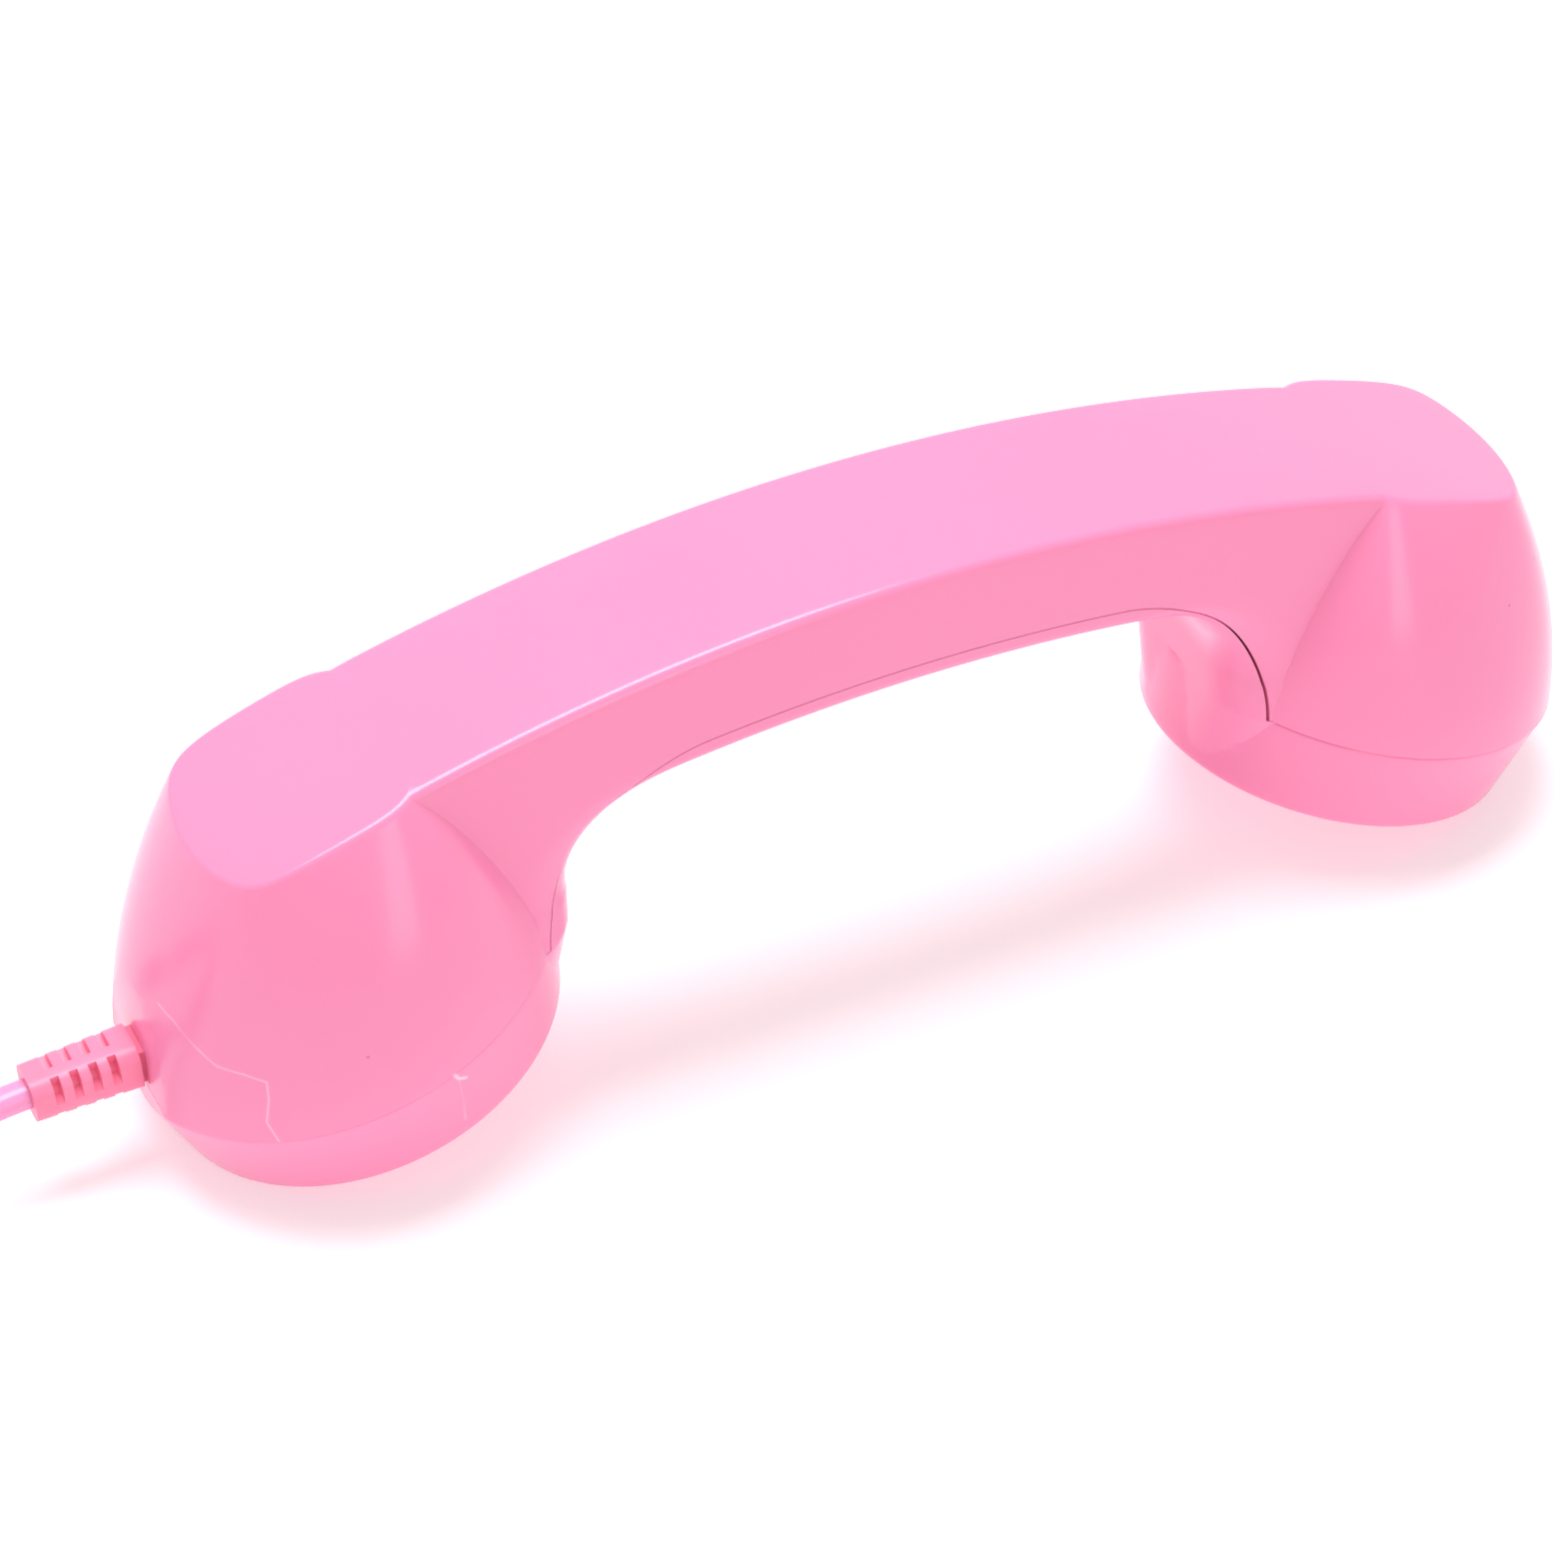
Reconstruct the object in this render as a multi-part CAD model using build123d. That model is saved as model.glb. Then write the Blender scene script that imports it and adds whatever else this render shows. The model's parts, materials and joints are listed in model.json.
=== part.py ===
from build123d import *
from math import acos, atan2, cos, hypot, pi, radians, sin, sqrt, tan
import os

# A telephone handset lying on its two cups. X runs along the grip, with the earpiece at +X and the
# mouthpiece and cord at -X, Y runs across it and Z is up. All lengths are in millimetres.

# Cups. The rim is the widest ring of a cup and the face is its flat lower end. A cup's own frame has
# e outwards along the rim plane, y across and w square to the rim plane, away from the face.
CUP_X = 74.5
CUP_TILT = 16.4
RIM_LONG = 29.4
RIM_WIDE = 26.45
FACE_LONG = 26.46
FACE_WIDE = 24.08
FACE_DEPTH = 13.56
FACE_EDGE_R = 1.2

# Grip. Its top and its underside are long arcs, and its sides flare a little downwards.
GRIP_TOP_Z = 66.85
GRIP_TOP_R = 242.8
GRIP_UNDER_Z = 51.45
GRIP_UNDER_R = 244.9
GRIP_HALF = 13.2
GRIP_FLARE = 0.0987
NECK_R = 16.1
NECK_SET = 0.2
NECK_OVERRUN = 4.0
CORNER_GRIP = 1.6
CORNER_NECK = 8.0
CHIN_HALF = 12.0
CHIN_SET = 0.6
CHIN_STOP = 1.0

# Flat upper end of each dome, where it runs into the grip's top
TOP_SIDE = 13.65
TOP_END = 17.7
TOP_END_R = 27.8
TOP_INNER = 10.0
TOP_TAPER = 0.02
TOP_CORNER = 10
TOP_INNER_CORNER = 3
DOME_OVERRUN = 0.8
DOME_BULGE = 2.0
DOME_BULGE_INNER = 1.25

# Shells and the seam between them
WALL = 2.2
FACE_WALL = 2.0
SEAM_RISE = 2.8
SEAM_X = 51.4
SEAM_NECK_R = 25.7
SEAM_GAP = 0.12
SEAM_GAP_EAR = 0.45
RING_SET = 0.15
CAVITY_SET = 0.3
CAVITY_LAP = 0.5

# Sound holes in the faces
EAR_HOLE_R = 1.0
EAR_HOLE_RINGS = ((5.0, 6), (10.0, 12))
MOUTH_HOLE_R = 0.8
MOUTH_HOLE_RINGS = ((4.0, 6),)

# Screws, each with its head, its shank and the clearance round it
SCREW_CLEAR = 0.15
PILOT_CLEAR = 0.03
CASE_SCREW_X = 30.0
CASE_HEAD_R = 2.5
CASE_HEAD_H = 1.5
CASE_SHANK_R = 1.25
CASE_SHANK_LONG = 8.5
CASE_SEAT_WALL = 1.8
CASE_SEAT_SINK = 1.8
CASE_BOSS_R = 3.2
CASE_SEAT_R = 4.2
SMALL_HEAD_R = 1.8
SMALL_HEAD_H = 1.2
SMALL_SHANK_R = 0.95
SMALL_SHANK_LONG = 6.0
POST_R = 2.3
FIT = 0.05

# Receiver capsule in the ear cup, in order from the face upwards
CLOTH_R = 14.8
CLOTH_H = 0.4
GASKET_IN = 15.0
GASKET_H = 1.4
CAPSULE_R = 19.0
COVER_H = 0.8
COVER_HOLE_R = 1.2
COVER_HOLE_RING = 8.0
COVER_HOLES = 6
BASKET_H = 6.5
BASKET_LEDGE = 0.6
BASKET_FLOOR = 3.0
BASKET_LIP = 2.0
BASKET_BORE = 15.5
DIAPHRAGM_H = 0.4
DIAPHRAGM_DOME = 1.5
DIAPHRAGM_CAP_SET = 0.2
YOKE_R = 9.0
YOKE_IN = 7.8
YOKE_H = 6.0
YOKE_FLOOR = 1.4
YOKE_BACK = 2.2
MAGNET_R = 6.0
MAGNET_H = 3.0
POLE_R = 6.3
POLE_H = 1.2
COIL_IN = 6.7
COIL_OUT = 7.2
COIL_H = 3.0
BOARD_DISC_R = 7.0
BOARD_H = 1.0
LOCATE_GAP = 0.3
LOCATE_WALL = 1.4
LOCATE_H = 4.0
RETAINER_H = 1.5
RETAINER_IN = 10.0
RETAINER_EAR = 22.2
RETAINER_EAR_R = 2.6

# Microphone in the mouth cup
FELT_R = 5.5
FELT_H = 0.8
BOOT_R = 6.4
BOOT_FRONT = 1.5
BOOT_FRONT_R = 2.5
MIC_R = 4.85
MIC_H = 6.5
MIC_BOARD_R = 4.6
MIC_BOARD_H = 0.8
BRACKET_LONG = 27.0
BRACKET_WIDE = 9.0
BRACKET_H = 1.2
BRACKET_POST = 11.0
BRACKET_BORE = 3.0

# Terminal board in the mouth cup
TERMINAL_LONG = 22.0
TERMINAL_WIDE = 9.0
TERMINAL_H = 1.2
TERMINAL_E = 2.0
TERMINAL_Y = 13.5
TERMINAL_RISE = 6.0
TERMINAL_POST = 8.6

# Ballast bar in the grip
BALLAST_LONG = 50.0
BALLAST_WIDE = 12.0
BALLAST_H = 5.0
BALLAST_Z = 60.5
BALLAST_SCREW_X = 18.0
BALLAST_PILOT = 4.0
BALLAST_SCREW_END = 1.0

# Strain relief. It is moulded on the cord and sits in a notch of the outer shell, on a flat land.
LAND_X = 100.9
LAND_HALF = 9.5
LAND_LOW = 4.0
LAND_HIGH = 27.0
LAND_WALL = 2.6
RELIEF_GAP = 0.7
RELIEF_Z = 15.7
RELIEF_DROOP = 3.5
RELIEF_LONG = 14.0
RELIEF_WIDE = 7.4
RELIEF_HIGH = 6.8
RELIEF_CORNER = 2.0
RELIEF_END_WIDE = 6.7
RELIEF_END_HIGH = 6.3
RELIEF_FLANGE = 2.7
RELIEF_PITCH = 2.5
RELIEF_SLOT = 1.15
RELIEF_SLOTS = 4
RELIEF_SLOT_DEPTH = 1.3
RELIEF_WEB = 1.6
RELIEF_WEB_TURN = 19.0
RELIEF_NECK_HALF = 2.6
RELIEF_NECK_HIGH = 5.2
RELIEF_INNER_H = 2.2
RELIEF_INNER_HALF = 3.6
RELIEF_INNER_LOW = 2.8
RELIEF_LAP = 0.5

# Cord
CORD_R = 1.9
TAIL_OVER = 0.8
CRADLE_NEAR = 2.3
CRADLE_LONG = 4.5
CRADLE_HALF = 7.2
CRADLE_SCREW_Y = 4.9
CLAMP_H = 1.5
CURLY_R = 5.5
CURLY_Z = 5.6
CURLY_Y = -4.0
CURLY_LEG = 80.0
CURLY_BACK = 52.0
CURLY_BEND_R = 20.0
PLUG_R = 4.0
PLUG_LONG = 17.0
PLUG_NECK_R = 2.5
PLUG_NOSE = 4.0
PIN_R = 1.75
PIN_LONG = 14.0

# How far a cut runs past the piece it cuts
CUT = 1.0

# Sizes that follow from the ones above
TILT = radians(CUP_TILT)
DROOP = radians(RELIEF_DROOP)
EDGE_TURN = acos(-(RIM_LONG - FACE_LONG) / hypot(RIM_LONG - FACE_LONG, FACE_DEPTH))
FOOT_LIFT = FACE_EDGE_R * (cos(TILT) + sin(TILT) / tan(EDGE_TURN / 2) - 1)
RIM_Z = FACE_DEPTH * cos(TILT) + FACE_LONG * sin(TILT) - FOOT_LIFT
TOP_C = GRIP_TOP_Z - GRIP_TOP_R
UNDER_C = GRIP_UNDER_Z - GRIP_UNDER_R
NECK_X = CUP_X - RIM_LONG * cos(TILT) + NECK_SET
END_X = CUP_X + RIM_LONG * cos(TILT)
FLOOR_W = FACE_WALL - FACE_DEPTH
ORIGIN_X = (END_X - LAND_X) / 2


def grip_top(x):
    return TOP_C + sqrt(GRIP_TOP_R**2 - x**2)


def grip_under(x):
    return UNDER_C + sqrt(GRIP_UNDER_R**2 - x**2)


def cup_point(side, e, y, w):
    x = CUP_X + e * cos(TILT) + w * sin(TILT)
    z = RIM_Z - e * sin(TILT) + w * cos(TILT)
    return Vector(side * x, y, z)


def in_cup(side, shape, e=0.0, y=0.0, w=0.0):
    # Places a shape that was made with its axis along Z, with that axis along w
    frame = Plane(cup_point(side, e, y, w), x_dir=(side * cos(TILT), 0, -sin(TILT)),
                  z_dir=(side * sin(TILT), 0, cos(TILT)))
    return frame * shape


def rod(radius, height, base=0.0):
    return Pos(0, 0, base + height / 2) * Cylinder(radius, height)


def tube(outer, inner, height, base=0.0):
    return rod(outer, height, base) - rod(inner, height + 2 * CUT, base - CUT)


def block(x0, x1, y0, y1, z0, z1):
    return Pos((x0 + x1) / 2, (y0 + y1) / 2, (z0 + z1) / 2) * Box(x1 - x0, y1 - y0, z1 - z0)


def screw(head_r, head_h, shank_r, shank_long):
    # Head above Z = 0, shank below it
    return rod(head_r, head_h) + rod(shank_r, shank_long, -shank_long)


def small_screw():
    return screw(SMALL_HEAD_R, SMALL_HEAD_H, SMALL_SHANK_R, SMALL_SHANK_LONG)


def small_pilot(top):
    # The hole a small screw cuts its thread in, open at height top
    return rod(SMALL_SHANK_R + PILOT_CLEAR, SMALL_SHANK_LONG + CUT, top - SMALL_SHANK_LONG)


def small_bore(thick, base):
    # The clearance hole for a small screw, through a plate of this thickness
    return rod(SMALL_SHANK_R + SCREW_CLEAR, thick + 2 * CUT, base - CUT)


# Handle: the grip, its two necks and the chins under them, as one loft of U-shaped sections

def side_half(x, z, inset):
    depth = GRIP_TOP_R - hypot(x, z - TOP_C)
    return GRIP_HALF + GRIP_FLARE * depth - inset


def u_section(x, z, ux, uz, length, half_low, half_high, corner):
    # A closed U in the plane of u and Y: low edge at the start point, rounded low corners, open top
    run = hypot(length, half_high - half_low)
    lean = (half_high - half_low) / run
    turn = acos(-lean)
    set_back = corner / tan(turn / 2)
    along = (length / run, lean)
    bis = (along[0], along[1] - 1)
    scale = corner / sin(turn / 2) / hypot(*bis)
    centre = (bis[0] * scale, half_low + bis[1] * scale)
    reach = 1 - corner / (scale * hypot(*bis))
    mid = (centre[0] * reach, half_low + (centre[1] - half_low) * reach)

    def at(s, y):
        return Vector(x + ux * s, y, z + uz * s)

    first = (0, half_low - set_back)
    last = (set_back * along[0], half_low + set_back * along[1])
    return Wire([
        Edge.make_line(at(*last), at(length, half_high)),
        Edge.make_line(at(length, half_high), at(length, -half_high)),
        Edge.make_line(at(length, -half_high), at(last[0], -last[1])),
        Edge.make_three_point_arc(at(last[0], -last[1]), at(mid[0], -mid[1]), at(0, -first[1])),
        Edge.make_line(at(0, -first[1]), at(*first)),
        Edge.make_three_point_arc(at(*first), at(*mid), at(*last)),
    ])


def handle_side(inset, bottom):
    # Sections from the middle of the grip to the face, as (x, z, ux, uz, length, low, high, corner)
    rows = []
    bend_r = NECK_R + inset
    axis_x = NECK_X - NECK_R
    axis_z = UNDER_C + sqrt((GRIP_UNDER_R - NECK_R)**2 - axis_x**2)
    turn = atan2(axis_z - UNDER_C, axis_x)
    reach = GRIP_TOP_Z - GRIP_UNDER_Z + NECK_OVERRUN - inset
    for k in range(4):
        a = pi / 2 + (turn - pi / 2) * k / 4
        r = GRIP_UNDER_R + inset
        rows.append((r * cos(a), UNDER_C + r * sin(a), cos(a), sin(a), reach, CORNER_GRIP))
    for k in range(7):
        f = k / 6
        a = turn * (1 - f)
        length = reach + (CUP_X - NECK_X - reach) * min(1, f * 1.35)
        corner = CORNER_GRIP + (CORNER_NECK - CORNER_GRIP) * f * f * (3 - 2 * f)
        rows.append((axis_x + bend_r * cos(a), axis_z + bend_r * sin(a), cos(a), sin(a), length, corner))
    out = []
    for x, z, ux, uz, length, corner in rows:
        low = side_half(x, z, inset)
        high = side_half(x + ux * length, z + uz * length, inset)
        out.append((x, z, ux, uz, length, low, high, max(corner - inset, 0.3)))
    rim_e = -RIM_LONG + NECK_SET + inset
    rim = cup_point(1, rim_e, 0, 0)
    rim_half = side_half(rim.X, rim.Z, inset)
    out.append((rim.X, rim.Z, cos(TILT), -sin(TILT), -rim_e, rim_half, rim_half, CORNER_NECK - inset))
    chin_e = -FACE_LONG + CHIN_SET + inset
    chin = cup_point(1, chin_e, 0, -bottom)
    half = CHIN_HALF - inset
    out.append((chin.X, chin.Z, cos(TILT), -sin(TILT), -chin_e, half, half, CORNER_NECK - inset))
    return out


def handle(inset, bottom):
    right = handle_side(inset, bottom)
    left = [(-x, z, -ux, uz, length, low, high, c) for x, z, ux, uz, length, low, high, c in right[:0:-1]]
    return Solid.make_loft([u_section(*row) for row in left + right], ruled=False)


# Domes: from the round rim up to the flat end of the grip's top

def rim_r(phi, a, b):
    return 1 / sqrt((cos(phi) / a)**2 + (sin(phi) / b)**2)


def top_r(phi, inset):
    c = cos(phi)
    s = abs(sin(phi))
    if c >= 0:
        off = TOP_END - TOP_END_R
        side = (TOP_SIDE - inset) / (s + TOP_TAPER * c)
        end = off * c + sqrt((TOP_END_R - inset)**2 - (off * s)**2)
        n = TOP_CORNER
    else:
        side = (TOP_SIDE - inset) / max(s, 1e-6)
        end = (TOP_INNER - inset) / -c
        n = TOP_INNER_CORNER
    return (side**-n + end**-n)**(-1 / n)


def dome_angles():
    half = []
    for start, end, count in ((0, 30, 3), (30, 56, 9), (56, 180, 12)):
        half += [start + (end - start) * i / count for i in range(count)]
    return [radians(a) for a in half + [180] + [360 - a for a in half[:0:-1]]]


def dome_height():
    x = CUP_X - TOP_INNER
    return (x - CUP_X) * sin(TILT) + (grip_top(x) - RIM_Z) * cos(TILT) + DOME_OVERRUN


def dome(side, inset):
    wires = []
    for k in range(6):
        f = k / 5
        w = dome_height() * f
        points = []
        for phi in dome_angles():
            bulge = DOME_BULGE
            if cos(phi) < 0:
                bulge -= (DOME_BULGE - DOME_BULGE_INNER) * cos(phi)**2
            rim = rim_r(phi, RIM_LONG - inset, RIM_WIDE - inset)
            r = rim - (rim - top_r(phi, inset)) * f**bulge
            points.append(cup_point(side, r * cos(phi) - w * tan(TILT), r * sin(phi), w))
        wires.append(Wire([Edge.make_spline(points, periodic=True)]))
    return Solid.make_loft(wires, ruled=False)


# Rings: from the rim down to the flat face

def ellipse_at(side, w, a, b):
    frame = Plane(cup_point(side, 0, 0, w), x_dir=(side * cos(TILT), 0, -sin(TILT)),
                  z_dir=(side * sin(TILT), 0, cos(TILT)))
    return frame * Wire.make_ellipse(a, b)


def ring(side):
    wires = [ellipse_at(side, 0, RIM_LONG - RING_SET, RIM_WIDE - RING_SET),
             ellipse_at(side, -FACE_DEPTH, FACE_LONG, FACE_WIDE)]
    solid = Solid.make_loft(wires, ruled=True)
    edge = solid.edges().sort_by_distance(cup_point(side, 0, 0, -FACE_DEPTH))[0]
    return solid.fillet(FACE_EDGE_R, [edge])


def ring_cavity(side):
    inset = WALL + CAVITY_SET
    wires = [ellipse_at(side, CAVITY_LAP, RIM_LONG - inset, RIM_WIDE - inset),
             ellipse_at(side, FLOOR_W, FACE_LONG - WALL, FACE_WIDE - WALL)]
    return Solid.make_loft(wires, ruled=True)


def top_disc(inset):
    frame = Plane((0, 0, TOP_C), x_dir=(1, 0, 0), z_dir=(0, -1, 0))
    return frame * Cylinder(GRIP_TOP_R - inset, 4 * RIM_WIDE)


def seam_zone(gap, gap_ear):
    # All that lies under the seam: the grip's band, the necks' arcs and the rim planes
    far = END_X + 20
    r = GRIP_UNDER_R + SEAM_RISE + gap
    neck_x = SEAM_X - SEAM_NECK_R
    rim_z = RIM_Z + gap / cos(TILT)
    ends = []
    for side, neck_gap in ((-1, gap), (1, gap_ear)):
        neck_r = SEAM_NECK_R + neck_gap
        neck_z = UNDER_C + sqrt((r - neck_r)**2 - neck_x**2)
        above = (neck_x - CUP_X) * sin(TILT) + (neck_z - rim_z) * cos(TILT)
        along = sqrt(neck_r**2 - above**2)
        low_x = neck_x - above * sin(TILT) + along * cos(TILT)
        low_z = neck_z - above * cos(TILT) - along * sin(TILT)
        low_turn = atan2(low_z - neck_z, low_x - neck_x)
        turn = atan2(neck_z - UNDER_C, neck_x)
        half_turn = (low_turn + turn) / 2
        low = Vector(side * low_x, 0, low_z)
        mid = Vector(side * (neck_x + neck_r * cos(half_turn)), 0, neck_z + neck_r * sin(half_turn))
        top = Vector(side * (neck_x + neck_r * cos(turn)), 0, neck_z + neck_r * sin(turn))
        out = Vector(side * far, 0, rim_z + (CUP_X - far) * tan(TILT))
        foot = Vector(side * far, 0, -30)
        ends.append((foot, out, low, mid, top))
    edges = []
    for foot, out, low, mid, top in ends:
        edges += [Edge.make_line(foot, out), Edge.make_line(out, low)]
        edges.append(Edge.make_three_point_arc(low, mid, top))
    edges.append(Edge.make_three_point_arc(ends[0][4], Vector(0, 0, UNDER_C + r), ends[1][4]))
    edges.append(Edge.make_line(ends[0][0], ends[1][0]))
    return extrude(Face(Wire(edges)), amount=2 * RIM_WIDE, dir=(0, 1, 0), both=True)


def inner_space():
    # The hollow inside both shells
    space = handle(WALL, -FLOOR_W - CHIN_STOP)
    for side in (1, -1):
        space = space + ring_cavity(side)
    for side in (1, -1):
        space = space + dome(side, WALL)
    return space & top_disc(WALL)


# Places that more than one piece shares

def case_floor():
    # Height of the screw heads' seats in the underside of the grip
    return grip_under(CASE_SCREW_X) + CASE_SEAT_SINK


def stack_w():
    # Heights of the receiver's pieces above the rim plane, from the face upwards
    gasket = FLOOR_W
    cover = gasket + GASKET_H
    basket = cover + COVER_H
    back = basket + BASKET_H
    yoke_top = back + YOKE_BACK
    return {"gasket": gasket, "cover": cover, "basket": basket, "back": back, "yoke": yoke_top}


def mic_w():
    felt = FLOOR_W
    boot = felt + FELT_H
    can = boot + BOOT_FRONT
    board = can + MIC_H
    bracket = board + MIC_BOARD_H
    return {"felt": felt, "boot": boot, "can": can, "board": board, "bracket": bracket}


def clamp_z():
    return RELIEF_Z + CORD_R


def cradle_x():
    # Inner end of the strain relief's inner flange, then the cradle's two ends
    flange = -LAND_X + LAND_WALL + RELIEF_INNER_H
    return flange, flange + CRADLE_NEAR, flange + CRADLE_NEAR + CRADLE_LONG


def ballast_holes():
    return (-BALLAST_SCREW_X, BALLAST_SCREW_X)


# Outer shell

def land_cut():
    return block(-END_X - CUT, -LAND_X, -LAND_HALF, LAND_HALF, LAND_LOW, LAND_HIGH)


def relief_notch():
    half = RELIEF_NECK_HALF + SCREW_CLEAR
    top = RELIEF_Z + RELIEF_NECK_HIGH / 2 + SCREW_CLEAR
    return block(-END_X - CUT, -LAND_X + LAND_WALL + CUT, -half, half, 0, top)


def outer_boss(x, radius, bottom, pilot_r, pilot_long):
    boss = Pos(x, 0, 0) * rod(radius, grip_top(x) - WALL / 2 - bottom, bottom)
    boss = boss - Pos(x, 0, 0) * rod(pilot_r, pilot_long + CUT, bottom - CUT)
    return boss


def outer_shell(space):
    form = handle(0, FACE_DEPTH - CHIN_STOP)
    for side in (1, -1):
        form = form + dome(side, 0)
    form = (form & top_disc(0)) - seam_zone(SEAM_GAP, SEAM_GAP_EAR)
    land_back = block(-END_X - CUT, -LAND_X + LAND_WALL, -LAND_HALF, LAND_HALF, LAND_LOW, LAND_HIGH)
    shell = form - (space - land_back)
    shell = shell - land_cut() - relief_notch()
    for x in (-CASE_SCREW_X, CASE_SCREW_X):
        bottom = case_floor() + CASE_SEAT_WALL + SEAM_GAP
        shell = shell + outer_boss(x, CASE_BOSS_R, bottom, CASE_SHANK_R + PILOT_CLEAR, CASE_SHANK_LONG)
    for x in ballast_holes():
        shell = shell + outer_boss(x, POST_R, BALLAST_Z, SMALL_SHANK_R + PILOT_CLEAR, BALLAST_PILOT)
    return shell


# Inner shell

def sound_holes(side, radius, rings):
    hole = rod(radius, FACE_WALL + 2 * CUT, -FACE_DEPTH - CUT)
    holes = hole
    for ring_radius, count in rings:
        for k in range(count):
            a = 2 * pi * k / count
            holes = holes + Pos(ring_radius * cos(a), ring_radius * sin(a)) * hole
    return in_cup(side, holes)


def post(side, e, y, top):
    # A post from the face up to height top, with a pilot hole for a small screw
    base = FLOOR_W - FACE_WALL / 2
    solid = rod(POST_R, top - base, base) - small_pilot(top)
    return in_cup(side, Pos(e, side * y) * solid)


def seat_ring(side, inner_r):
    return in_cup(side, tube(inner_r + LOCATE_WALL, inner_r, LOCATE_H, FLOOR_W))


def cradle():
    # A saddle under the cord, with a screw post at each side, standing on the mouth cup's face
    flange, x0, x1 = cradle_x()
    foot = []
    for x in (x1, x0):
        e = (-x - CUP_X - (FLOOR_W - FACE_WALL / 2) * sin(TILT)) / cos(TILT)
        foot.append(cup_point(-1, e, 0, FLOOR_W - FACE_WALL / 2))
    corners = [foot[0], foot[1], Vector(x0, 0, clamp_z()), Vector(x1, 0, clamp_z())]
    face = Face(Wire.make_polygon(corners, close=True))
    solid = extrude(face, amount=CRADLE_HALF, dir=(0, 1, 0), both=True)
    groove_r = CORD_R + FIT
    groove = Plane((x0 - CUT, 0, RELIEF_Z), z_dir=(1, 0, 0)) * rod(groove_r, CRADLE_LONG + 2 * CUT)
    groove = groove + block(x0 - CUT, x1 + CUT, -groove_r, groove_r, RELIEF_Z, clamp_z() + CUT)
    solid = solid - groove
    for y in (-CRADLE_SCREW_Y, CRADLE_SCREW_Y):
        solid = solid - Pos((x0 + x1) / 2, y) * small_pilot(clamp_z())
    return solid


def terminal_posts():
    return [(TERMINAL_E + s * TERMINAL_POST, TERMINAL_Y) for s in (-1, 1)]


def inner_shell(space):
    shell = handle(0, FACE_DEPTH - CHIN_STOP) & seam_zone(0, 0)
    for side in (1, -1):
        shell = shell + ring(side)
    shell = shell - space
    seat = case_floor()
    sink = 2 * CASE_SEAT_SINK + 2 * CUT
    for x in (-CASE_SCREW_X, CASE_SCREW_X):
        shell = shell + Pos(x, 0, 0) * rod(CASE_SEAT_R, CASE_SEAT_WALL + WALL / 2, seat - WALL / 2)
        shell = shell - Pos(x, 0, 0) * rod(CASE_HEAD_R + 2 * SCREW_CLEAR, sink, seat - sink)
        shell = shell - Pos(x, 0, 0) * rod(CASE_SHANK_R + SCREW_CLEAR, CASE_SHANK_LONG + CUT, seat - CUT)
    shell = shell - sound_holes(1, EAR_HOLE_R, EAR_HOLE_RINGS)
    shell = shell - sound_holes(-1, MOUTH_HOLE_R, MOUTH_HOLE_RINGS)
    shell = shell - land_cut()
    shell = shell + seat_ring(1, CAPSULE_R + LOCATE_GAP) + seat_ring(-1, BOOT_R + SCREW_CLEAR)
    for e in (-RETAINER_EAR, RETAINER_EAR):
        shell = shell + post(1, e, 0, stack_w()["back"])
    for e in (-BRACKET_POST, BRACKET_POST):
        shell = shell + post(-1, e, 0, mic_w()["bracket"])
    for e, y in terminal_posts():
        shell = shell + post(-1, e, y, FLOOR_W + TERMINAL_RISE)
    return shell + cradle()


# Receiver capsule

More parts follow.
